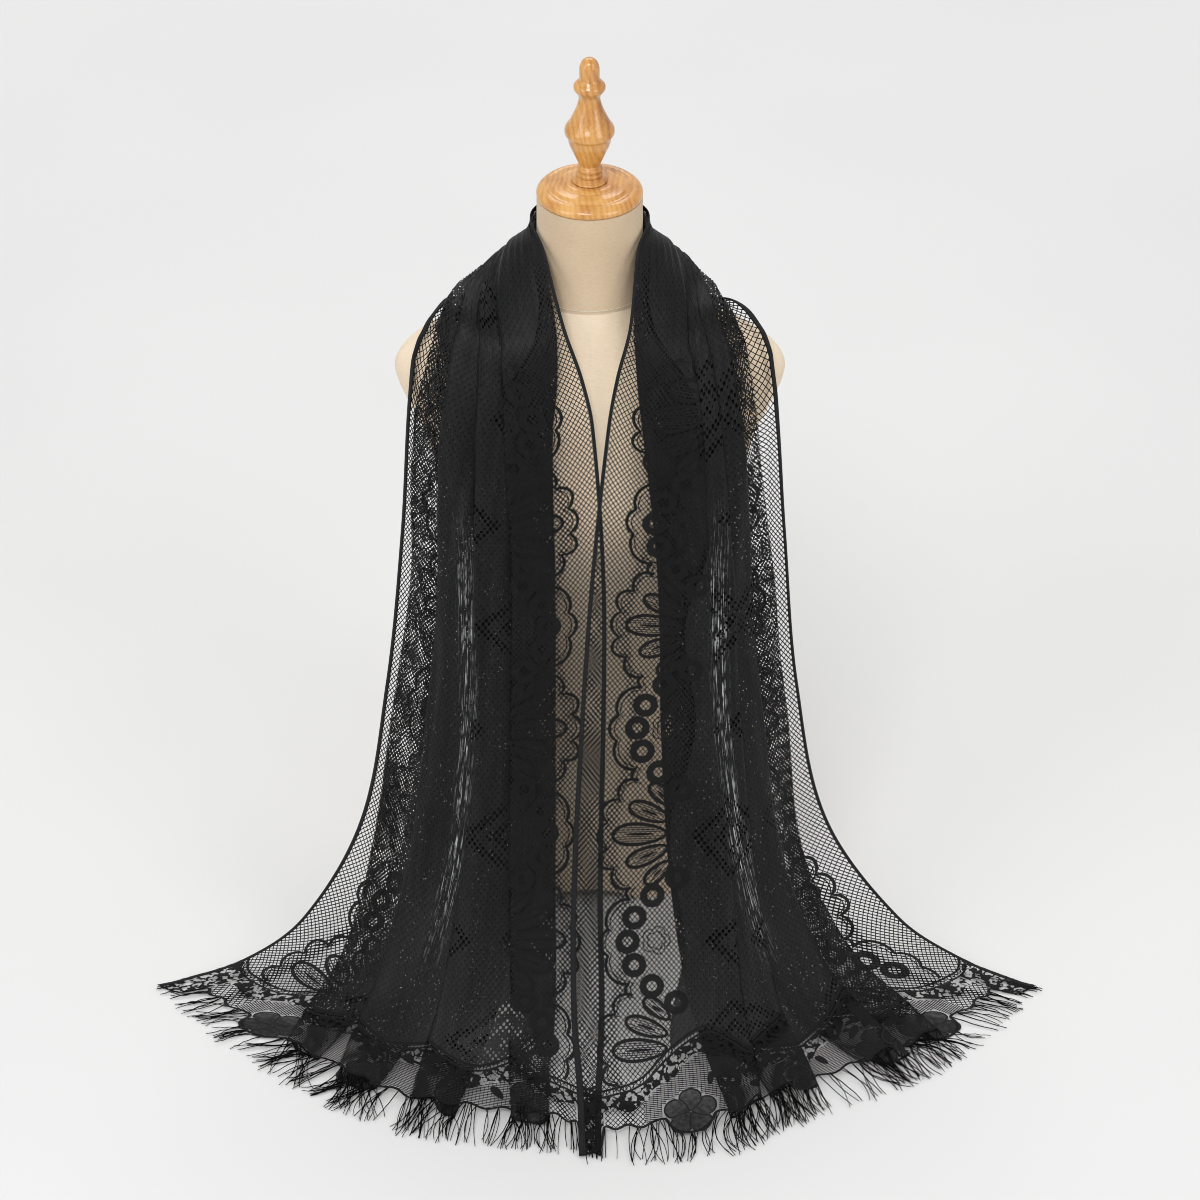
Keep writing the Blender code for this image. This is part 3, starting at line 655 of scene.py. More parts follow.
def openwork(column, length):
    """How open the ground is: nested lozenges set by turns, and a lacier reach along the outer edge."""
    step_in = inset(column)
    along = np.arccos(np.clip(fan_phase(column, length), -1.0, 1.0)) / (2.0 * np.pi) * REPEAT
    nested = np.zeros_like(along)
    for between, middle, half_depth, half_width in LOZENGES:
        aside = REPEAT / 2.0 - along if between else along
        outward = np.abs(step_in - middle) / half_depth + np.abs(aside) / half_width
        rings = smooth_step(0.30, 0.62, 0.5 + 0.5 * np.cos(2.0 * np.pi * outward * 2.5))
        nested = np.maximum(nested, rings * (outward < 1.0))
    fade = 1.0 - smooth_step(330.0, 380.0, step_in)
    own = np.clip(0.10 + 0.80 * nested * fade, 0.0, 1.0)
    lacy = lacy_reach(column, length)
    on_right = (length <= 0.0) * smooth_step(0.30, 0.42, share_of(length))
    closer = 0.12 + 0.18 * on_right
    return own * (1.0 - lacy) + lacy * (1.45 - closer - 0.33 * smooth_step(144.0, 156.0, step_in))


def lacy_reach(column, length):
    """1 along the outer edge, where the ground is at its most open."""
    outer = (column > WIDTH / 2.0) * smooth_step(*LACY_FROM, share_of(length))
    return outer * (1.0 - smooth_step(*LACY_TO, inset(column)))


def motif_places():
    """Every fan and group of rings: its kind, and its half, edge and rise of its middle."""
    places = []
    for half in (1, -1):
        for outer in (False, True):
            rises = np.arange(FIRST_MOTIF, HALF_LENGTH - MOTIFS_FROM, REPEAT / 2.0)
            for turn, rise in enumerate(rises):
                kind = "fan" if (outer == (half > 0)) == (turn % 2 == 0) else "rings"
                places.append((kind, (half, outer, float(rise))))
    return places


def at_rise(half, column, rise):
    """Places at columns and rises of one half."""
    return np.stack([column, half * (HALF_LENGTH - rise)], 1)


def by_motif(motif, insets, along):
    """Places given by inset and distance along the edge from a motif's middle."""
    half, outer, rise = motif
    insets = np.asarray(insets, float)
    column = WIDTH - insets if outer else insets
    return np.stack([column, half * (HALF_LENGTH - rise - np.asarray(along, float))], 1)


def over_ladder(places):
    """How far places lie above the ladder braid."""
    return rise_of(places[:, 1]) - ladder_rise(places[:, 0])


def shows_motif(motif):
    """Motifs under the gathers at the neck don't show."""
    half, outer, rise = motif
    return outer or HALF_LENGTH - rise > SHOWN_FROM


# Plates and ribbons in the flat cloth, gathered into one mesh for each piece

class Pile:
    def __init__(self):
        self.points = []
        self.places = []
        self.faces = []
        self.count = 0

    def add(self, columns, lengths, lifts, faces):
        lifts = np.broadcast_to(lifts, np.size(columns)).ravel()
        places = np.stack([np.ravel(columns), np.ravel(lengths), lifts], 1)
        self.add_hung(on_cloth(places[:, 0], places[:, 1], lifts), places, faces)

    def add_hung(self, points, places, faces):
        """Points already on the hung cloth, and their places on the flat one."""
        self.points.append(points)
        self.places.append(places)
        self.faces.append(np.asarray(faces) + self.count)
        self.count += len(places)

    def strip(self, left, right, lift, closed=False):
        """Quads between two rows of places."""
        faces = tube_faces(2, len(left)) if closed else sheet_faces(2, len(left))
        both = np.concatenate([left, right])
        self.add(both[:, 0], both[:, 1], lift, faces)

    def ribbon(self, path, width, lift=CORD_LIFT, closed=False):
        if closed:
            ahead = np.roll(path, -1, axis=0) - np.roll(path, 1, axis=0)
        else:
            ahead = np.gradient(path, axis=0)
        ahead = unit(ahead)
        side = np.stack([-ahead[:, 1], ahead[:, 0]], 1) * np.asarray(width).reshape(-1, 1) / 2.0
        self.strip(path + side, path - side, lift, closed)

    def patch(self, columns, lengths, lift):
        """A grid of quads: columns and lengths are equal two-dimensional arrays."""
        self.add(columns, lengths, lift, sheet_faces(*columns.shape))

    def mesh_parts(self):
        return np.concatenate(self.points), np.concatenate(self.faces), np.concatenate(self.places)


def new_mesh_object(name, points, faces, material):
    """An object from points in millimetres and quads or triangles, all of one kind."""
    points = np.asarray(points, float) * MM
    faces = np.asarray(faces, int)
    mesh = bpy.data.meshes.new(name)
    mesh.vertices.add(len(points))
    mesh.vertices.foreach_set("co", points.ravel())
    corners = faces.shape[1]
    mesh.loops.add(faces.size)
    mesh.loops.foreach_set("vertex_index", faces.ravel())
    mesh.polygons.add(len(faces))
    mesh.polygons.foreach_set("loop_start", np.arange(len(faces)) * corners)
    mesh.update(calc_edges=True)
    mesh.shade_smooth()
    item = bpy.data.objects.new(name, mesh)
    bpy.context.scene.collection.objects.link(item)
    mesh.materials.append(material)
    return item


STRETCHES = {
    "left": (NECK_REACH, HALF_LENGTH),
    "right": (-HALF_LENGTH, -NECK_REACH),
    "neck": (-NECK_REACH, NECK_REACH),
}


def stretch_of(length):
    if length > NECK_REACH:
        return "left"
    return "right" if length < -NECK_REACH else "neck"


def cloud_line(notches, bulges, grow=0.0):
    """The scalloped line through the notches: one arc between each pair, bulging outward."""
    points = []
    for a, b, bulge in zip(notches, notches[1:], bulges):
        a, b = np.array(a, float), np.array(b, float)
        out = np.array((b[1] - a[1], -(b[0] - a[0])))
        out /= np.linalg.norm(out)
        if out[0] > 0.0:
            out = -out
        for part in np.linspace(0.0, 1.0, 11)[:-1]:
            lift = 4.0 * part * (1.0 - part)
            points.append(a + (b - a) * part + out * (bulge * lift ** 0.75 - grow))
    points.append(np.array(notches[-1], float))
    return np.array(points)


def runs(path, keep):
    """The unbroken stretches of a path where keep holds."""
    stretches, start = [], None
    for index, good in enumerate(keep):
        if good and start is None:
            start = index
        if start is not None and (not good or index == len(keep) - 1):
            end = index + 1 if good else index
            if end - start > 2:
                stretches.append(path[start:end])
            start = None
    return stretches


def add_clouds(pile, kind, motif):
    notches, bulges = (FAN_CLOUD, FAN_BULGE) if kind == "fan" else (RING_CLOUD, RING_BULGE)
    for grow, width in CLOUD_CORDS:
        line = cloud_line(notches, bulges, grow)
        places = by_motif(motif, line[:, 0], line[:, 1])
        for piece in runs(places, over_ladder(places) > CLOUD_CLEAR):
            pile.ribbon(piece, width)


def petal_outline(petal_length, petal_width, inward=0.0, count=36):
    """A petal along its own axis: wide and round at its tip, narrow at its root."""
    angle = full_turn(count)
    along = (petal_length / 2.0 - inward) * np.cos(angle)
    half = petal_width / 2.0 - inward
    across = half * np.sin(angle) * (1.0 + 0.22 * np.cos(angle))
    return np.stack([along, across], 1)


def bar_line(reach, across):
    """A straight line along a petal's axis, at a distance from it."""
    return np.stack([np.linspace(-reach, reach, 9), np.full(9, across)], 1)


def add_fan(pile, fill, motif):
    """Petals with a firm rim, a thick bar along the middle and fine bars beside it."""
    for angle, radius, length, width, slit in FAN_PETALS:
        turn = math.radians(angle)
        axis = np.array((-math.cos(turn), math.sin(turn)))
        side = np.array((-axis[1], axis[0]))
        middle = np.array((FAN_FOCUS, 0.0)) + axis * radius
        if over_ladder(by_motif(motif, middle[:1], middle[1:]))[0] < PETAL_CLEAR:
            continue

        def put(shape):
            spots = middle + shape[:, :1] * axis + shape[:, 1:] * side
            return by_motif(motif, spots[:, 0], spots[:, 1])

        rim = put(petal_outline(length, width)), put(petal_outline(length, width, PETAL_RIM))
        pile.strip(*rim, MOTIF_LIFT, closed=True)
        swell = np.sin(np.linspace(0.35, math.pi - 0.35, 9))
        pile.ribbon(put(bar_line(slit / 2.0, 0.0)), PETAL_BAR * swell, MOTIF_LIFT)
        count = int((width / 2.0 - 3.0) / PETAL_RIB_SPACING)
        for step in (*range(-count, 0), *range(1, count + 1)):
            across = PETAL_RIB_SPACING * step
            rounded = max(1.0 - (across / (width / 2.0 - 2.6)) ** 2, 0.05)
            reach = (length / 2.0 - 3.4) * math.sqrt(rounded)
            fill.ribbon(put(bar_line(reach, across)), PETAL_RIB, PETAL_RIB_LIFT)


def five_lobes(angle, waist, power):
    """Radius of a round with five lobes, which has this share of its size between them."""
    return waist + (1.0 - waist) * np.abs(np.cos(2.5 * angle)) ** power


def add_rings(pile, fill, motif):
    angle = full_turn(28)
    circle = np.stack([np.cos(angle), np.sin(angle)], 1)
    for centre in np.array(RINGS, float):
        if over_ladder(by_motif(motif, centre[:1], centre[1:]))[0] < RING_CLEAR:
            continue
        rims = []
        for radius in (RING_OUTER, RING_INNER):
            spots = centre + circle * radius
            rims.append(by_motif(motif, spots[:, 0], spots[:, 1]))
        pile.strip(*rims, MOTIF_LIFT, closed=True)
    angle = full_turn(80)
    for size in ROSETTE_RADII:
        radius = size * five_lobes(angle, *ROSETTE_LOBES)
        path = by_motif(motif, ROSETTE_INSET + radius * np.cos(angle), radius * np.sin(angle))
        if np.all(over_ladder(path) > ROSETTE_CLEAR):
            fill.ribbon(path, 1.0, ROSETTE_LIFT, closed=True)


def add_scrolls(fill, motif):
    """Curling stems and leaves on the lacy reach beyond a motif."""
    for middle, along, radius, turns, start in STEMS:
        angle = start + np.linspace(0.0, 2.0 * np.pi * turns, 44)
        reach = radius * (0.18 + 0.82 * np.linspace(0.0, 1.0, 44))
        stem = by_motif(motif, middle + reach * np.cos(angle), along + reach * np.sin(angle))
        fill.ribbon(stem, 1.5, MOTIF_LIFT)
        shape = petal_outline(radius * 0.62, radius * 0.26, 0.0, 14)
        out, across = radius * 1.25 + shape[:, 0], shape[:, 1]
        for leaf in range(5):
            turn = start + leaf * 1.25
            sine, cosine = math.sin(turn), math.cos(turn)
            insets = middle + cosine * out - sine * across
            outline = by_motif(motif, insets, along + sine * out + cosine * across)
            fill.ribbon(outline, 1.1, MOTIF_LIFT, closed=True)


def hem_line(half, margin, rise_of, step=2.0):
    """A path from edge to edge whose rise follows from its column."""
    column = np.arange(margin, WIDTH - margin + 0.01, step)
    return at_rise(half, column, rise_of(column))


def add_ladder(pile, half):
    """The braid above the hem: two firm borders joined by short rungs."""
    for offset in (LADDER_HALF, -LADDER_HALF):
        border = hem_line(half, 3.0, lambda column: ladder_rise(column) + offset)
        pile.ribbon(border, 2.1, MOTIF_LIFT)
    for column in np.arange(5.0, WIDTH - 4.0, LADDER_RUNG_SPACING):
        ends = ladder_rise(column) + np.array((-2.0, 2.0))
        pile.ribbon(at_rise(half, np.full(2, column), ends), 0.8)


def near_flower(column, rise, grow=0.0):
    """True inside a hem flower's outline."""
    inside = np.zeros(np.shape(column), bool)
    for centre in FLOWER_COLUMNS:
        dx, dy = column - centre, rise - FLOWER_RISE
        rim = FLOWER_RADIUS * five_lobes(np.arctan2(dx, dy), *FLOWER_LOBES)
        inside |= np.hypot(dx, dy) < rim + grow
    return inside


def add_flowers(pile, lines, half):
    """Five petals, their outline and their veins, at each place along the hem."""
    angle = full_turn(60)
    rim = FLOWER_RADIUS * five_lobes(angle, *FLOWER_LOBES)
    for centre in FLOWER_COLUMNS:

        def put(reach, turn):
            return at_rise(half, centre + reach * np.sin(turn), FLOWER_RISE + reach * np.cos(turn))

        rounds = [put(rim * part, angle) for part in (0.06, 0.36, 0.68, 1.0)]
        for inner, outer in zip(rounds, rounds[1:]):
            pile.strip(outer, inner, FLOWER_LIFT, closed=True)
        lines.ribbon(rounds[-1], 1.6, VEIN_LIFT, closed=True)
        for petal in range(5):
            reach = np.linspace(0.5, FLOWER_RADIUS * 0.78, 8)
            turn = 2.0 * math.pi * (petal + 0.5) / 5.0 + 0.16 * np.sin(reach / 6.0)
            lines.ribbon(put(reach, turn), 1.3, VEIN_LIFT)


def add_hem_trim(trim, half):
    """The two corners, filled up to the ladder, and the leafy band under it."""
    fills = []
    for first in (0.0, WIDTH - HEM_CORNER):
        column = np.linspace(first, first + HEM_CORNER, 10)
        part = np.linspace(0.0, 1.0, 16)[:, None]
        low = hem_rise(column)
        fills.append((column, low + (ladder_rise(column) - low) * part))
    column = np.arange(HEM_CORNER, WIDTH - HEM_CORNER + 0.1, 3.0)
    part = np.linspace(0.0, 1.0, 5)[:, None]
    depth = 17.0 + 4.0 * np.sin(column / 6.2)
    top = ladder_rise(column) - 4.0
    fills.append((column, np.maximum(top - depth * part, hem_rise(column))))
    for column, rise in fills:
        trim.patch(np.broadcast_to(column, rise.shape), half * (HALF_LENGTH - rise), MOTIF_LIFT)


def under_ladder(column, rise, depth):
    """True from the hem up to a depth under the ladder, but for the flowers."""
    between = (rise > hem_rise(column)) & (rise < ladder_rise(column) - depth)
    return between & ~near_flower(column, rise, 1.0)


def add_hem_ribs(fill, half):
    """Fine ribs level with the hem, and finer ones across them."""
    column = np.arange(60.0, WIDTH - 59.0, 4.0)
    for level in np.arange(6.0, 104.0, 2.0):
        rise = level + 1.5 * np.sin(column / 40.0)
        for piece in runs(at_rise(half, column, rise), under_ladder(column, rise, 19.0)):
            fill.ribbon(piece, 0.95, RIB_LIFT)
    rise = np.arange(6.0, 104.0, 5.0)
    for across in np.arange(62.0, WIDTH - 61.0, 3.4):
        column = np.full(rise.shape, across)
        for piece in runs(at_rise(half, column, rise), under_ladder(column, rise, 17.0)):
            fill.ribbon(piece, 0.45, RIB_LIFT)


def add_hem_lines(lines, half):
    """The hem's own cord, and small leaves on the ribs above it."""
    lines.ribbon(hem_line(half, 1.0, lambda column: hem_rise(column) + 1.2, 1.5), 2.6, MOTIF_LIFT)
    for column, rise, size, lean in HEM_LEAVES:
        shape = petal_outline(size * 2.0, size * 0.9, 0.0, 16)
        for spot, turn in ((column, lean), (WIDTH - column, -lean)):
            sine, cosine = math.sin(turn), math.cos(turn)
            across = spot + shape[:, 0] * sine + shape[:, 1] * cosine
            outline = at_rise(half, across, rise + shape[:, 0] * cosine - shape[:, 1] * sine)
            middle = np.array((spot, half * (HALF_LENGTH - rise)))
            lines.strip(outline, middle * 0.98 + outline * 0.02, LEAF_LIFT, closed=True)


def thread_width(column, length):
    """The net's thread is heavier just inside the cloud lines and near the dense ground."""
    step_in = inset(column)
    line = HEAVY_INSET - HEAVY_WAVE * fan_phase(column, length)
    begun = smooth_step(*(line + reach for reach in HEAVY_BEGINS), step_in)
    band = begun * (1.0 - smooth_step(*(line + reach for reach in HEAVY_ENDS), step_in))
    near = smooth_step(-4.0, 3.0, step_in - ground_inset(column, length))
    heavy = np.maximum(band, near)
    drawn_in = 1.0 + 2.0 * (1.0 - smooth_step(*NET_DRAWN_IN, np.abs(length)))
    return (NET_THREAD + (NET_THREAD_FILLED - NET_THREAD) * heavy) * drawn_in


def net_here(column, length):
    """True along the long edges, and in a patch between the ladder and each end of the hem."""
    rise, step_in = rise_of(length), inset(column)
    edge = (step_in > 0.5) & (step_in < ground_inset(column, length) + 4.0)
    above = rise > ladder_rise(column) - 2.0
    patch = (step_in > HEM_CORNER) & (step_in < HEM_NET_END)
    below = (rise > hem_rise(column)) & (rise < ladder_rise(column) - 16.0)
    return (edge & above) | (patch & below)


def strip_table(length):
    """The open strip's columns there, and its slip for each column."""
    shares, *tables = zip(*STRIP_SLIP)
    return [np.interp(share_of(length), shares, table) for table in tables]


def add_net(pile, first, last, start, end):
    """Threads that cross in two families of slanting lines, each a chain of short plates. On the open
    strip, which is seen at a slant, a second plate stands across the first."""
    m = np.arange(math.ceil(first / NET_ACROSS), math.floor(last / NET_ACROSS) + 1)
    n = np.arange(math.ceil(start / NET_ALONG) - 1, math.floor(end / NET_ALONG) + 1)
    mm, nn = np.meshgrid(m, n, indexing="ij")
    column, length = mm * NET_ACROSS, nn * NET_ALONG
    strip, each = strip_table(length)
    beyond = np.maximum(column - (WIDTH - strip), 0.0)
    length = length + np.sign(length) * beyond * each
    there = ((mm + nn) % 2 == 0) & net_here(column, length)
    half_width = thread_width(column, length) / 2.0
    half_width = (half_width * np.where(beyond > 0.0, STRIP_THREAD_GAIN, 1.0))[..., None]
    index = np.arange(mm.size).reshape(mm.shape)
    total = mm.size
    knots = on_cloth(column, length)
    normals = read_grid(GRID_NORMALS, column, length)
    places = np.stack([column.ravel(), length.ravel(), np.zeros(total)], 1)
    for slope in (1, -1):
        ahead = np.roll(knots, (-1, -slope), (0, 1)) - np.roll(knots, (1, slope), (0, 1))
        ahead[0], ahead[-1] = ahead[1], ahead[-2]
        ahead[:, 0], ahead[:, -1] = ahead[:, 1], ahead[:, -2]
        side = np.cross(ahead, normals)
        side *= half_width / np.maximum(np.linalg.norm(side, axis=-1), 1e-6)[..., None]
        upright = normals * half_width
        if slope > 0:
            a, b = (slice(None, -1), slice(None, -1)), (slice(1, None), slice(1, None))
        else:
            a, b = (slice(None, -1), slice(1, None)), (slice(1, None), slice(None, -1))
        keep = there[a] & there[b]
        for reach, kept in ((side, keep), (upright, keep & (beyond[a] > 0.0))):
            from_knot, to_knot = index[a][kept], index[b][kept]
            if not len(from_knot):
                continue
            faces = np.stack([from_knot, to_knot, to_knot + total, from_knot + total], 1)
            used, faces = np.unique(faces, return_inverse=True)
            points = np.concatenate([(knots + reach).reshape(-1, 3), (knots - reach).reshape(-1, 3)])
            pile.add_hung(points[used], np.tile(places, (2, 1))[used], faces.reshape(-1, 4))


# Materials

class Shades:
    """A material's nodes, added and linked with short calls."""

    def __init__(self, name):
        self.material = bpy.data.materials.new(name)
        self.material.use_nodes = True
        self.tree = self.material.node_tree
        self.shader = self.tree.nodes["Principled BSDF"]

    def node(self, kind, **inputs):
        made = self.tree.nodes.new(kind)
        for name, value in inputs.items():
            self.feed(made.inputs[name.replace("_", " ")], value)
        return made

    def feed(self, socket, value):
        if isinstance(value, bpy.types.NodeSocket):
            self.tree.links.new(value, socket)
        else:
            socket.default_value = value

    def math(self, operation, *values):
        made = self.tree.nodes.new("ShaderNodeMath")
        made.operation = operation
        for index, value in enumerate(values):
            self.feed(made.inputs[index], value)
        return made.outputs[0]

    def spread(self, value, low, high, to_low, to_high):
        """A value between low and high, brought to the range from to_low to to_high."""
        made = self.tree.nodes.new("ShaderNodeMapRange")
        for index, number in enumerate((value, low, high, to_low, to_high)):
            self.feed(made.inputs[index], number)
        return made.outputs[0]

    def ramp(self, value, *stops):
        made = self.tree.nodes.new("ShaderNodeValToRGB")
        self.feed(made.inputs[0], value)
        marks = made.color_ramp.elements
        while len(marks) < len(stops):
            marks.new(0.5)
        for mark, (place, colour) in zip(marks, stops):
            mark.position = place
            mark.color = (*colour, 1.0)
        return made.outputs[0]

    def mix(self, share, first, second, colours=False):
        """A number or a colour between the first and the second."""
        made = self.tree.nodes.new("ShaderNodeMix")
        made.data_type = "RGBA" if colours else "FLOAT"
        at, out = (6, 2) if colours else (2, 0)
        self.feed(made.inputs[0], share)
        self.feed(made.inputs[at], first)
        self.feed(made.inputs[at + 1], second)
        return made.outputs[out]

    def noise(self, vector, scale, detail=3.0):
        return self.node("ShaderNodeTexNoise", Vector=vector, Scale=scale, Detail=detail).outputs[0]

    def cells(self, vector):
        return self.node("ShaderNodeTexVoronoi", Vector=vector, Scale=1.0).outputs[0]

    def stretched(self, vector, x, y, z=1.0):
        made = self.tree.nodes.new("ShaderNodeMapping")
        self.feed(made.inputs[0], vector)
        made.inputs["Scale"].default_value = (x, y, z)
        return made.outputs[0]

    def place(self):
        return self.node("ShaderNodeTexCoord").outputs["Object"]

    def attribute(self, name):
        made = self.tree.nodes.new("ShaderNodeAttribute")
        made.attribute_name = name
        return made.outputs

    def flat(self):
        """Column and length of the flat cloth, in millimetres."""
        return self.attribute("flat")["Vector"]

    def value(self, name):
        return self.attribute(name)["Fac"]

    def combined(self, x, y):
        return self.node("ShaderNodeCombineXYZ", X=x, Y=y).outputs[0]

    def flat_noise(self, across, along, detail=3.0):
        """Noise over the flat cloth, from its frequencies across and along it."""
        return self.noise(self.stretched(self.flat(), across, along), 1.0, detail)

    def wave(self, value, period):
        """The cosine of a length with this period."""
        return self.math("COSINE", self.math("MULTIPLY", value, 2.0 * math.pi / period))

    def knit(self, across, along):
        """Bumps set by turns over the flat cloth, from their periods in millimetres."""
        column, length, _ = self.axes(self.flat())
        return self.math("MULTIPLY", self.wave(column, across), self.wave(length, along))

    def axes(self, vector):
        return self.node("ShaderNodeSeparateXYZ", Vector=vector).outputs

    def bump(self, height, strength, distance):
        made = self.tree.nodes.new("ShaderNodeBump")
        made.inputs["Strength"].default_value = strength
        made.inputs["Distance"].default_value = distance
        self.feed(made.inputs["Height"], height)
        self.tree.links.new(made.outputs[0], self.shader.inputs["Normal"])

    def see_through(self, cover):
        """Lets light through where cover is under 1."""
        self.feed(self.shader.inputs["Alpha"], cover)

    def colour(self, value):
        self.feed(self.shader.inputs["Base Color"], value)

    def roughness(self, tone, low, high):
        self.feed(self.shader.inputs["Roughness"], self.spread(tone, 0.3, 0.7, low, high))

    def shine(self, level):
        self.shader.inputs["Specular IOR Level"].default_value = level

    def surface(self, tone, dark, light, smooth, rough):
        """Colour and roughness that follow one tone."""
        self.colour(self.ramp(tone, (0.3, dark), (0.7, light)))
        self.roughness(tone, smooth, rough)


def ground_material():
    """Dense warp knit: fine lengthwise ribs, rows of small openings in scallops in from its edges."""
    s = Shades("lace ground")
    flat = s.flat()
    column, length, _ = s.axes(flat)
    # openings, set by turns, finer on the lacy reach
    finer = s.spread(s.value("lacy"), 0.3, 0.6, 0.0, 1.0)
    lattice = s.mix(finer, s.knit(5.4, 7.2), s.knit(3.3, 4.8))
    streak = s.flat_noise(0.12, 0.010)
    blotch = s.flat_noise(0.11, 0.08)
    amount = s.math("MULTIPLY", s.spread(blotch, 0.40, 0.58, 0.84, 1.04), s.value("opened"))
    bound = s.math("MULTIPLY_ADD", amount, -1.08, 1.10)
    past = s.math("SUBTRACT", lattice, bound)
    hole = s.spread(past, -0.05, 0.05, 0.0, 1.0)
    inside = s.spread(s.value("inside"), -0.6, 0.6, 0.0, 1.0)
    cover = s.math("MULTIPLY", s.math("SUBTRACT", 1.0, hole), 0.978)
    s.see_through(s.math("MULTIPLY", cover, inside))
    # dark threads; the colour darkens towards the rims of the openings, painted shade that stands in for
    # the shadow seen through them
    tone = s.math("MULTIPLY_ADD", s.flat_noise(0.80, 0.16), 0.55, s.math("MULTIPLY", streak, 0.45))
    tone = s.math("MULTIPLY", tone, s.spread(past, -0.45, -0.05, 1.0, 0.10))
    dark = s.ramp(
        tone,
        (0.05, (0.0012, 0.0012, 0.0014)),
        (0.38, (0.0040, 0.0041, 0.0045)),
        (0.62, (0.0115, 0.0117, 0.0128)),
    )
    # painted highlights: a light grey colour that stands in for light caught by shiny threads, along ribs
    # in the middle of each half and in scattered specks
    across = s.math("MULTIPLY", s.value("part"), 230.0)
    rib_place = s.combined(across, s.math("MULTIPLY", length, 0.020))
    ribs = s.spread(s.noise(rib_place, 1.0, 2.0), 0.51, 0.63, 0.0, 1.0)
    broken = s.spread(s.flat_noise(0.34, 0.09), 0.42, 0.60, 0.0, 1.0)
    # the thin value marks where the painted highlights along the ribs run
    painted_rib_highlights = s.math("MULTIPLY", s.math("MULTIPLY", ribs, broken), s.value("thin"))
    # scattered specks of painted highlight, standing in for glints off shiny threads
    dots = s.spread(s.cells(s.stretched(flat, 0.30, 0.26)), 0.16, 0.10, 0.0, 1.0)
    patches = s.spread(s.flat_noise(0.055, 0.020), 0.46, 0.60, 0.0, 1.0)
    painted_speck_highlights = s.math("MULTIPLY", dots, s.math("MULTIPLY", patches, s.value("painted_speck_zone")))
    painted_highlight = s.math("MAXIMUM", painted_rib_highlights, painted_speck_highlights)
    # light grey of the painted highlights
    s.colour(s.mix(painted_highlight, dark, (0.46, 0.465, 0.470, 1.0), colours=True))
    s.roughness(streak, 0.50, 0.40)
    s.shine(0.15)
    s.bump(s.math("MULTIPLY_ADD", s.wave(column, 1.65), 0.35, lattice), 0.25, 0.0004)
    return s.material


def net_material():
    s = Shades("lace net thread")
    tone = s.noise(s.place(), 900.0, 2.0)
    s.surface(tone, (0.0055, 0.0055, 0.0060), (0.0125, 0.0125, 0.0135), 0.52, 0.68)
    s.shine(0.16)
    return s.material


def motif_material():
    s = Shades("lace motif")
    knit = s.knit(1.5, 2.4)
    tone = s.flat_noise(0.5, 0.3)
    s.surface(tone, (0.0030, 0.0030, 0.0034), (0.0075, 0.0075, 0.0082), 0.50, 0.66)
    s.shine(0.13)
    s.see_through(s.spread(knit, -1.0, 1.0, 0.95, 0.99))
    s.bump(knit, 0.4, 0.0003)
    return s.material


def flower_material():
    s = Shades("lace flower")
    knit = s.knit(2.0, 2.6)
    tone = s.flat_noise(0.22, 0.22, 4.0)
    s.surface(tone, (0.0050, 0.0050, 0.0056), (0.0110, 0.0110, 0.0120), 0.65, 0.85)
    s.shine(0.15)
    s.see_through(s.math("MULTIPLY_ADD", knit, 0.05, s.spread(tone, 0.35, 0.65, 0.78, 0.93)))
    s.bump(knit, 0.4, 0.0003)
    return s.material


def trim_material():
    """Leafy filling: dark, with small irregular openings."""
    s = Shades("lace trim")
    flat = s.flat()
    wander = s.node("ShaderNodeTexNoise", Vector=s.stretched(flat, 0.16, 0.16), Scale=1.0, Detail=2.0)
    bent = s.tree.nodes.new("ShaderNodeVectorMath")
    bent.operation = "MULTIPLY_ADD"
    terms = (wander.outputs["Color"], (2.4, 2.4, 0.0), s.stretched(flat, 0.24, 0.20))
    for socket, term in zip(bent.inputs, terms):
        s.feed(socket, term)
    leaves = s.cells(bent.outputs[0])
    tone = s.flat_noise(0.15, 0.12, 2.0)
    between = s.spread(leaves, 0.50, 0.43, 0.0, 1.0)
    opening = s.math("MULTIPLY", between, s.spread(tone, 0.30, 0.38, 0.0, 1.0))
    s.see_through(s.math("SUBTRACT", 0.98, opening))
    s.surface(tone, (0.0015, 0.0015, 0.0018), (0.0045, 0.0045, 0.0050), 0.65, 0.82)
    s.shine(0.15)
    s.bump(leaves, 0.3, 0.0004)
    return s.material


def band_material():
    s = Shades("lace edge band")
    tone = s.flat_noise(0.4, 0.05)
    s.surface(tone, (0.0050, 0.0050, 0.0058), (0.0130, 0.0132, 0.0150), 0.6, 0.8)
    s.shine(0.25)
    s.bump(s.knit(1.3, 1.9), 0.5, 0.0004)
    return s.material


def thread_material():
    s = Shades("fringe thread")
    tone = s.noise(s.place(), 160.0, 2.0)
    s.colour(s.ramp(
        tone,
        (0.30, (0.0012, 0.0012, 0.0015)),
        (0.60, (0.0035, 0.0032, 0.0032)),
        (0.85, (0.0090, 0.0070, 0.0060)),
    ))
    s.roughness(tone, 0.6, 0.8)
    s.shine(0.08)
    return s.material


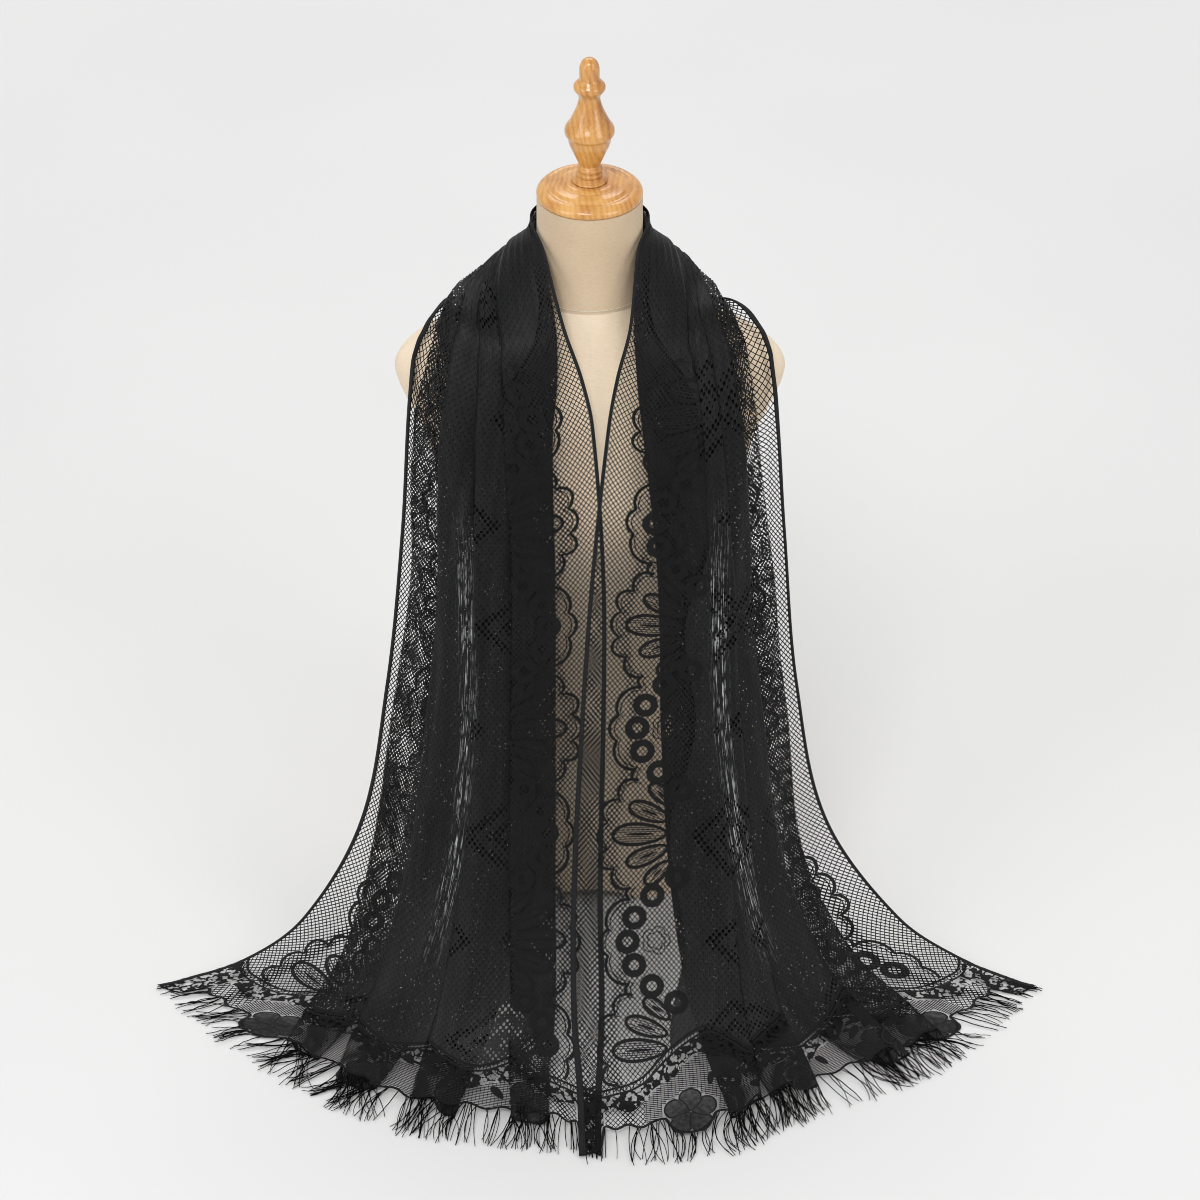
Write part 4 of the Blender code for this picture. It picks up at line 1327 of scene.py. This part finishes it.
def linen_material():
    """Plain weave: warp and weft ridges, slubs and a slight blotch."""
    s = Shades("linen cover")
    place = s.place()
    x, y, z = s.axes(place)
    warp = s.math("SINE", s.math("MULTIPLY", s.math("ARCTAN2", y, x), 620.0))
    weft = s.math("SINE", s.math("MULTIPLY", z, 2.0 * math.pi / 0.00105))
    slubs = s.noise(s.stretched(place, 260.0, 260.0, 900.0), 1.0, 3.0)
    blotch = s.noise(place, 14.0, 4.0)
    weave = s.math("MULTIPLY_ADD", s.math("MULTIPLY", warp, weft), 0.20, slubs)
    tone = s.math("MULTIPLY_ADD", blotch, 0.60, s.math("MULTIPLY", weave, 0.36))
    torso = s.ramp(
        tone,
        (0.22, (0.680, 0.535, 0.370)),
        (0.45, (0.790, 0.645, 0.475)),
        (0.70, (0.860, 0.740, 0.580)),
    )
    neck = s.ramp(
        tone,
        (0.22, (0.500, 0.370, 0.235)),
        (0.45, (0.595, 0.455, 0.305)),
        (0.70, (0.670, 0.535, 0.380)),
    )
    seam = NECK_SEAM_HEIGHT * MM
    over_seam = s.spread(z, seam - 0.0003, seam + 0.0003, 0.0, 1.0)
    s.colour(s.mix(over_seam, torso, neck, colours=True))
    s.roughness(slubs, 0.75, 0.92)
    s.shader.inputs["Sheen Weight"].default_value = 0.15
    s.bump(weave, 0.45, 0.0004)
    return s.material


def stitch_material():
    s = Shades("cotton stitch")
    tone = s.noise(s.place(), 1200.0, 2.0)
    s.surface(tone, (0.74, 0.68, 0.56), (0.88, 0.84, 0.75), 0.6, 0.8)
    return s.material


def wood_material():
    """Varnished honey-coloured wood with darker growth lines and a clear coat."""
    s = Shades("varnished wood")
    place = s.place()
    warped = s.noise(s.stretched(place, 14.0, 14.0, 4.0), 1.0, 3.0)
    x, y, z = s.axes(place)
    across = s.math("MULTIPLY_ADD", warped, 0.035, s.math("MULTIPLY_ADD", z, 0.22, x))
    growth = s.math("SINE", s.math("MULTIPLY", across, 2.0 * math.pi / 0.0052))
    fine = s.noise(s.stretched(place, 700.0, 700.0, 30.0), 1.0, 4.0)
    broad = s.noise(s.stretched(place, 30.0, 30.0, 9.0), 1.0, 2.0)
    grain = s.math("MULTIPLY_ADD", fine, 0.30, s.math("MULTIPLY", broad, 0.70))
    s.colour(s.ramp(
        s.math("MULTIPLY_ADD", growth, 0.045, grain),
        (0.30, (0.330, 0.120, 0.022)),
        (0.44, (0.560, 0.255, 0.060)),
        (0.58, (0.700, 0.370, 0.105)),
        (0.78, (0.780, 0.465, 0.165)),
    ))
    s.roughness(fine, 0.38, 0.26)
    s.shader.inputs["Coat Weight"].default_value = 0.6
    s.shader.inputs["Coat Roughness"].default_value = 0.12
    s.bump(fine, 0.08, 0.0004)
    return s.material


def floor_material():
    s = Shades("floor")
    tone = s.noise(s.place(), 1.3, 2.0)
    s.colour(s.ramp(tone, (0.3, (0.720, 0.722, 0.720)), (0.7, (0.750, 0.752, 0.748))))
    s.shader.inputs["Roughness"].default_value = 0.9
    s.shine(0.1)
    return s.material


# The lace's pieces

def store_flat(item, places):
    attribute = item.data.attributes.new("flat", "FLOAT_VECTOR", "POINT")
    flat = np.zeros((len(places), 3), np.float32)
    flat[:, :2] = places[:, :2]
    attribute.data.foreach_set("vector", flat.ravel())


def store_value(item, name, values):
    attribute = item.data.attributes.new(name, "FLOAT", "POINT")
    attribute.data.foreach_set("value", np.asarray(values, np.float32).ravel())


def ground_values(column, length):
    """What the ground's material reads at each of its points."""
    share = share_of(length)
    above_ladder = rise_of(length) - ladder_rise(column)
    past_edge = inset(column) - ground_inset(column, length)
    part = read_grid(GRID_PARTS, column, length)[:, 0]
    middle_left = 0.57 - 0.04 * smooth_step(0.4, 0.7, share)
    middle = np.where(length > 0.0, middle_left, 0.525 + 0.05 * share)
    along = smooth_step(*PAINTED_HIGHLIGHT_FROM, share) * (1.0 - smooth_step(*PAINTED_HIGHLIGHT_TO, share))
    outward = smooth_step(0.3, 0.6, np.clip(column / WIDTH, 0.0, 1.0))
    return {
        "inside": np.minimum(past_edge, above_ladder),
        "opened": openwork(column, length),
        "lacy": lacy_reach(column, length),
        # where the painted highlights along the ribs run
        "thin": along * np.exp(-((part - middle) / PAINTED_HIGHLIGHT_HALF) ** 4),
        "part": part,
        # where the painted highlight specks may lie
        "painted_speck_zone": smooth_step(0.26, 0.44, share) * (0.35 + 0.65 * outward),
    }


def rows_between(start, end):
    return np.linspace(start, end, max(2, round((end - start) / LENGTH_STEP) + 1))


def ground_piece(name, start, end, material):
    """The dense ground of one stretch, as one open sheet that runs a little past its own edges."""
    first = round(GROUND_FROM / COLUMN_STEP)
    columns = np.arange(first, GRID.shape[1] - round(GROUND_TO / COLUMN_STEP)) * COLUMN_STEP
    low = max(start, GROUND_END - HALF_LENGTH)
    high = min(end, HALF_LENGTH - GROUND_END)
    lengths = rows_between(low, high)
    length, column = np.meshgrid(lengths, columns, indexing="ij")
    pile = Pile()
    pile.patch(column, length, 0.0)
    points, faces, places = pile.mesh_parts()
    near_ground = inset(places[:, 0]) > ground_inset(places[:, 0], places[:, 1]) - GROUND_SPARE
    used, faces = np.unique(faces[near_ground[faces].any(axis=1)], return_inverse=True)
    faces = faces.reshape(-1, 4)
    points, places = points[used], places[used]
    cell = COLUMN_STEP * (lengths[1] - lengths[0])
    item = new_mesh_object(name, points, faces, material)
    store_flat(item, places)
    for value_name, values in ground_values(places[:, 0], places[:, 1]).items():
        store_value(item, value_name, values)
    layer = item.data.uv_layers.new(name="OFBake")
    corner = np.empty(len(item.data.loops), int)
    item.data.loops.foreach_get("vertex_index", corner)
    u = (places[corner, 0] - columns[0]) / (columns[-1] - columns[0])
    v = (places[corner, 1] - low) / (high - low)
    layer.data.foreach_set("uv", np.stack([u, v], 1).astype(np.float32).ravel())
    return item, len(faces) * cell * MM * MM


def piece_from(pile, name, material):
    points, faces, places = pile.mesh_parts()
    item = new_mesh_object(name, points, faces, material)
    store_flat(item, places)
    return item


def band_piece(name, outer, start, end, material):
    """The firm edge: a flattened roll along the cloth's edge."""
    lengths = rows_between(start, end)
    share = share_of(lengths)
    shares, inner_widths, outer_widths = zip(*BAND_WIDTHS)
    widths = np.interp(share, shares, outer_widths if outer else inner_widths)
    firm = np.full(len(lengths), BAND_LIFT)
    if outer:
        hanging = smooth_step(*HANGS_FROM, share) * (1.0 - smooth_step(*HANGS_TO, share))
        widths = widths * (1.0 + (BAND_LEFT_GAIN - 1.0) * hanging * (lengths > 0.0))
        firm = firm + BAND_LIFT_HANGING * hanging
    angle = np.arange(BAND_SIDES) * 2.0 * math.pi / BAND_SIDES
    across = widths[:, None] * (1.0 - np.sign(np.cos(angle)) * np.abs(np.cos(angle)) ** 0.6) / 2.0
    column = WIDTH - across if outer else across
    length = np.broadcast_to(lengths[:, None], column.shape)
    points = on_cloth(column, length, firm[:, None] * np.sin(angle)).reshape(-1, 3)
    item = new_mesh_object(name, points, tube_faces(len(lengths), BAND_SIDES), material)
    store_flat(item, np.stack([column.ravel(), length.ravel()], 1))
    return item


def fill_piles(kinds):
    """The motifs and hem trims of every stretch."""
    piles = {key: {kind: Pile() for kind in kinds} for key in STRETCHES}
    for kind, motif in motif_places():
        half, outer, rise = motif
        pile = piles[stretch_of(half * (HALF_LENGTH - rise))]
        if outer and rise < SCROLLS_END * HALF_LENGTH:
            add_scrolls(pile["fill"], motif)
        if shows_motif(motif):
            add_clouds(pile["motif"], kind, motif)
            add_motif = add_fan if kind == "fan" else add_rings
            add_motif(pile["motif"], pile["fill"], motif)
    for key, half in (("left", 1), ("right", -1)):
        pile = piles[key]
        add_ladder(pile["motif"], half)
        add_flowers(pile["flower"], pile["fill"], half)
        add_hem_trim(pile["trim"], half)
        add_hem_ribs(pile["fill"], half)
        add_hem_lines(pile["motif"], half)
    return piles


def make_lace():
    """The pieces of each stretch, and its ground's area on the flat cloth."""
    ground, net = ground_material(), net_material()
    kinds = {
        "net": net,
        "motif": motif_material(),
        "fill": net,
        "trim": trim_material(),
        "flower": flower_material(),
    }
    band = band_material()
    piles = fill_piles(kinds)
    made, areas = {}, {}
    for key, (start, end) in STRETCHES.items():
        pile = piles[key]
        add_net(pile["net"], 1.0, NET_REACH, start, end)
        add_net(pile["net"], WIDTH - NET_REACH, WIDTH, start, end)
        sheet, areas[key] = ground_piece(f"lace_{key}_ground", start, end, ground)
        made[key] = {"ground": sheet}
        for kind, material in kinds.items():
            if pile[kind].count:
                made[key][kind] = piece_from(pile[kind], f"lace_{key}_{kind}", material)
                made[key][kind].visible_shadow = kind != "net"
        low = start - BAND_BEYOND_HEM if key == "right" else start
        high = end + BAND_BEYOND_HEM if key == "left" else end
        for edge in ("inner", "outer"):
            made[key][edge] = band_piece(f"band_{key}_{edge}", edge == "outer", low, high, band)
    return made, areas


# Fringe

def make_fringe(name, half, material):
    """Cut threads that leave the hem's outline, bow and cross, and lie on the table."""
    count = FRINGE_THREADS
    column = np.sort(chance.uniform(1.0, WIDTH - 1.0, count))
    column = np.clip(column + 1.6 * np.sin(column / 1.9), 1.0, WIDTH - 1.0)
    rise = hem_rise(column)
    root = on_cloth(column, half * (HALF_LENGTH - rise))
    beyond = on_cloth(column, half * (HALF_LENGTH + 20.0))
    ahead = unit((beyond - on_cloth(column, half * (HALF_LENGTH - 4.0))) * LEVEL_ONLY)
    side = np.stack([-ahead[:, 1], ahead[:, 0], np.zeros(count)], 1)
    clump = 0.55 * np.sin(column / 9.0) + 0.45 * np.sin(column / 4.3 + 1.3)
    stiff = 1.0 - smooth_step(*THREAD_STIFF, inset(column))
    length = rise + FRINGE_LENGTH * chance.uniform(*THREAD_LENGTHS, count) * (1.0 - 0.25 * stiff)
    lean = (0.20 * clump + chance.normal(0.0, THREAD_LEAN, count)) * (1.0 - 0.7 * stiff)
    bow = 0.18 * np.sin(column / 13.0 + 0.7) + chance.normal(0.0, THREAD_BOW, count)
    bow = bow * (1.0 - 0.75 * stiff)
    height = np.maximum(root[:, 2], 0.6)
    rest = chance.uniform(*THREAD_RESTS, count)
    thickness = chance.uniform(*THREAD_RADII, count)
    points = []
    for part in np.linspace(0.0, 1.0, FRINGE_STEPS):
        turn = lean * part + bow * part * (1.0 - part) * 2.0
        centre = root + ahead * (length * part)[:, None] + side * (turn * length * 0.9)[:, None]
        level = height * (1.0 - part) ** 2 + rest * (1.0 - (1.0 - part) ** 2)
        level = level + THREAD_HOP * np.sin(part * math.pi) * chance.uniform(0.0, 1.0, count)
        centre[:, 2] = np.maximum(level, THREAD_LOWEST)
        thin = thickness * (1.0 - THREAD_TAPER * part)
        for angle in full_turn(FRINGE_SIDES):
            offset = side * (np.cos(angle) * thin)[:, None]
            offset[:, 2] += np.sin(angle) * thin
            points.append(centre + offset)
    points = np.stack(points, 1)
    first = (np.arange(count) * FRINGE_STEPS * FRINGE_SIDES)[:, None]
    faces = (tube_faces(FRINGE_STEPS, FRINGE_SIDES)[:, None] + first).reshape(-1, 4)
    return new_mesh_object(name, points.reshape(-1, 3), faces, material)


# The dress form

def form_radii(height):
    knots = [row[0] for row in FORM_SECTIONS][::-1]
    values = [list(row[1:]) for row in FORM_SECTIONS][::-1]
    return smooth_between(knots, values, height)[0]


def form_point(height, angle):
    half_width, front, back, squareness = form_radii(height)
    cosine, sine = math.cos(angle), math.sin(angle)
    depth = back if sine > 0.0 else front
    x = half_width * math.copysign(abs(cosine) ** (2.0 / squareness), cosine)
    y = depth * math.copysign(abs(sine) ** (2.0 / squareness), sine)
    return np.array((x, y, height))


def make_form(material):
    """The covered torso: rings from the bottom up, closed at both ends, and the arch cut from it."""
    heights = list(np.arange(0.0, FORM_TOP - 1.0, FORM_RING_STEP))
    heights += [FORM_TOP - 2.0, FORM_TOP - 0.4, FORM_TOP]
    points = []
    for height in heights:
        tuck = 1.0 if height < FORM_TOP else 0.97
        pinch = 1.0 - PINCH * math.exp(-((height - NECK_SEAM_HEIGHT) / PINCH_REACH) ** 2)
        for side in range(FORM_SIDES):
            point = form_point(height, 2.0 * math.pi * side / FORM_SIDES)
            point[:2] *= tuck * pinch
            points.append(point)
    faces = tube_faces(len(heights), FORM_SIDES)
    item = new_mesh_object("form_cover", points, faces, material)
    work = bmesh.new()
    work.from_mesh(item.data)
    work.verts.ensure_lookup_table()
    corners = list(work.verts)
    work.faces.new(corners[:FORM_SIDES][::-1])
    work.faces.new(corners[-FORM_SIDES:])
    bmesh.ops.recalc_face_normals(work, faces=work.faces)
    work.to_mesh(item.data)
    work.free()
    cutter = arch_cutter()
    cut = item.modifiers.new("base arch", "BOOLEAN")
    cut.operation = "DIFFERENCE"
    cut.solver = "EXACT"
    cut.object = cutter
    evaluated = item.evaluated_get(bpy.context.evaluated_depsgraph_get())
    applied = bpy.data.meshes.new_from_object(evaluated)
    item.modifiers.clear()
    item.data = applied
    bpy.data.objects.remove(cutter, do_unlink=True)
    item.data.shade_smooth()
    item.data.set_sharp_from_angle(angle=math.radians(40.0))
    return item


def arch_cutter():
    """A lying cylinder that reaches forward from the back of the cut."""
    place = (0.0, ARCH_BACK - ARCH_REACH / 2.0, ARCH_HEIGHT - ARCH_RADIUS)
    bpy.ops.mesh.primitive_cylinder_add(
        vertices=96, radius=ARCH_RADIUS * MM, depth=ARCH_REACH * MM,
        location=[length * MM for length in place], rotation=(math.radians(90.0), 0.0, 0.0))
    return bpy.context.object


def stitch_spots():
    """Each stitch's start and a point ahead of it."""
    spots = []
    height = NECK_SEAM_HEIGHT + STITCH_OVER_SEAM
    for index in range(NECK_STITCHES):
        angle = 2.0 * math.pi * index / NECK_STITCHES
        spots.append((form_point(height, angle), form_point(height, angle + 0.02)))
    for seam in SEAM_ANGLES:
        angle = seam + STITCH_BESIDE
        for height in np.arange(24.0, NECK_SEAM_HEIGHT - 1.0, STITCH_SPACING):
            spots.append((form_point(height, angle), form_point(height + 2.0, angle)))
    return spots


def make_stitches(material):
    """Short hand stitches: round the neck's root, down the centre front and back, and the sides."""
    points, faces = [], []
    for here, ahead in stitch_spots():
        along, outward = unit(ahead - here), unit(here * LEVEL_ONLY)
        side = unit(np.cross(along, outward))
        up = np.cross(side, along)
        faces.append(tube_faces(len(STITCH_RINGS), 4) + len(points))
        for reach, size, lift in STITCH_RINGS:
            centre = here + along * reach + up * (lift + 0.05)
            for across, rise in ((-1, 0), (0, 1), (1, 0), (0, -1)):
                points.append(centre + side * across * size + up * rise * size)
    return new_mesh_object("form_stitches", points, np.concatenate(faces), material)


def make_seams(material):
    """Narrow sewn ridges on the form, just proud of its cover."""
    lines = []
    heights = np.arange(SEAM_BOTTOM, NECK_SEAM_HEIGHT, SEAM_STEP)
    for angle in SEAM_ANGLES:
        lines.append([(height, angle) for height in heights])
    angles = [2.0 * math.pi * index / NECK_SEAM_STEPS for index in range(NECK_SEAM_STEPS + 1)]
    lines.append([(NECK_SEAM_HEIGHT, angle) for angle in angles])
    points, faces = [], []
    for line in lines:
        spots = np.array([form_point(height, angle) for height, angle in line])
        ahead, outward = unit(np.gradient(spots, axis=0)), unit(spots * LEVEL_ONLY)
        side = np.cross(ahead, outward)
        faces.append(sheet_faces(len(spots), len(SEAM_SECTION)) + len(points))
        for spot, across, out in zip(spots, side, outward):
            for reach, lift in SEAM_SECTION:
                points.append(spot + across * reach + out * lift)
    return new_mesh_object("form_seams", points, np.concatenate(faces), material)


def make_turned(name, profile, bottom, material):
    """A turned piece, its edges rounded, screwed round the upright axis."""
    outline = np.array(profile, float)
    smooth = [outline[0]]
    for before, spot, after in zip(outline, outline[1:], outline[2:]):
        to_before, to_after = np.linalg.norm(before - spot), np.linalg.norm(after - spot)
        reach = min(to_before, to_after) * 0.42
        back = spot + (before - spot) / to_before * reach
        ahead = spot + (after - spot) / to_after * reach
        for part in np.linspace(0.0, 1.0, 6):
            smooth.append((1 - part) ** 2 * back + 2 * part * (1 - part) * spot + part ** 2 * ahead)
    smooth.append(outline[-1])
    angle = full_turn(TURNED_SIDES)
    rows = []
    for radius, height in smooth:
        radius = max(radius, 0.02)
        level = np.full(TURNED_SIDES, height + bottom)
        rows.append(np.stack([radius * np.cos(angle), radius * np.sin(angle), level], 1))
    faces = tube_faces(len(rows), TURNED_SIDES)[:, [0, 3, 2, 1]]
    return new_mesh_object(name, np.concatenate(rows), faces, material)


# Light and floor

def add_area(name, place, target, size, power):
    data = bpy.data.lights.new(name, "AREA")
    data.shape = "RECTANGLE"
    data.size, data.size_y = size
    data.energy = power
    lamp = bpy.data.objects.new(name, data)
    lamp.location = place
    away = np.array(place) - np.array(target)
    flat_reach = math.hypot(away[0], away[1])
    lamp.rotation_euler = (math.atan2(flat_reach, away[2]), 0.0, math.atan2(away[0], -away[1]))
    bpy.context.scene.collection.objects.link(lamp)


def add_stage():
    corners = [
        (FLOOR_LEFT, FLOOR_FRONT, FLOOR_LEVEL), (FLOOR_RIGHT, FLOOR_FRONT, FLOOR_LEVEL),
        (FLOOR_RIGHT, FLOOR_BACK, FLOOR_LEVEL), (FLOOR_LEFT, FLOOR_BACK, FLOOR_LEVEL),
    ]
    floor = new_mesh_object("floor", corners, [(0, 1, 2, 3)], floor_material())
    world = bpy.data.worlds.new("world")
    bpy.context.scene.world = world
    world.use_nodes = True
    back = world.node_tree.nodes["Background"]
    back.inputs["Color"].default_value = (SKY_GREY, SKY_GREY, SKY_GREY, 1.0)
    back.inputs["Strength"].default_value = SKY_STRENGTH
    for lamp in LAMPS:
        add_area(*lamp)
    view = bpy.context.scene.view_settings
    view.view_transform = "Standard"
    view.look = "None"
    view.exposure = 0.0
    bpy.context.scene.cycles.filter_width = 1.0
    bpy.context.scene.cycles.transparent_max_bounces = 16


def main():
    add_camera()
    lace, areas = make_lace()
    thread = thread_material()
    fringes = {
        "left": make_fringe("fringe_threads_left", 1.0, thread),
        "right": make_fringe("fringe_threads_right", -1.0, thread),
    }
    linen, stitch, wood = linen_material(), stitch_material(), wood_material()
    form = make_form(linen)
    seams = make_seams(linen)
    stitches = make_stitches(stitch)
    cap = make_turned("cap_turned", CAP_PROFILE, CAP_BOTTOM, wood)
    finial = make_turned("finial_turned", FINIAL_PROFILE, FINIAL_BOTTOM, wood)

    nodes = {"left": "scarf_left_front", "right": "scarf_right_front", "neck": "scarf_neck"}
    for key, pieces in lace.items():
        for kind, piece in pieces.items():
            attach(piece, "root")
        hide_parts(nodes[key])
        for edge in ("inner", "outer"):
            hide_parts(f"edge_band_{key}_{edge}")
        extras = [piece for kind, piece in pieces.items() if kind != "ground"]
        if key in fringes:
            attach(fringes[key], "root")
            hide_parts(f"fringe_{key}")
            extras.append(fringes[key])
    for piece in (form, seams, stitches, cap, finial):
        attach(piece, "root")
    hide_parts("form_torso")
    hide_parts("neck_cap")
    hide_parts("finial")
    add_stage()


main()
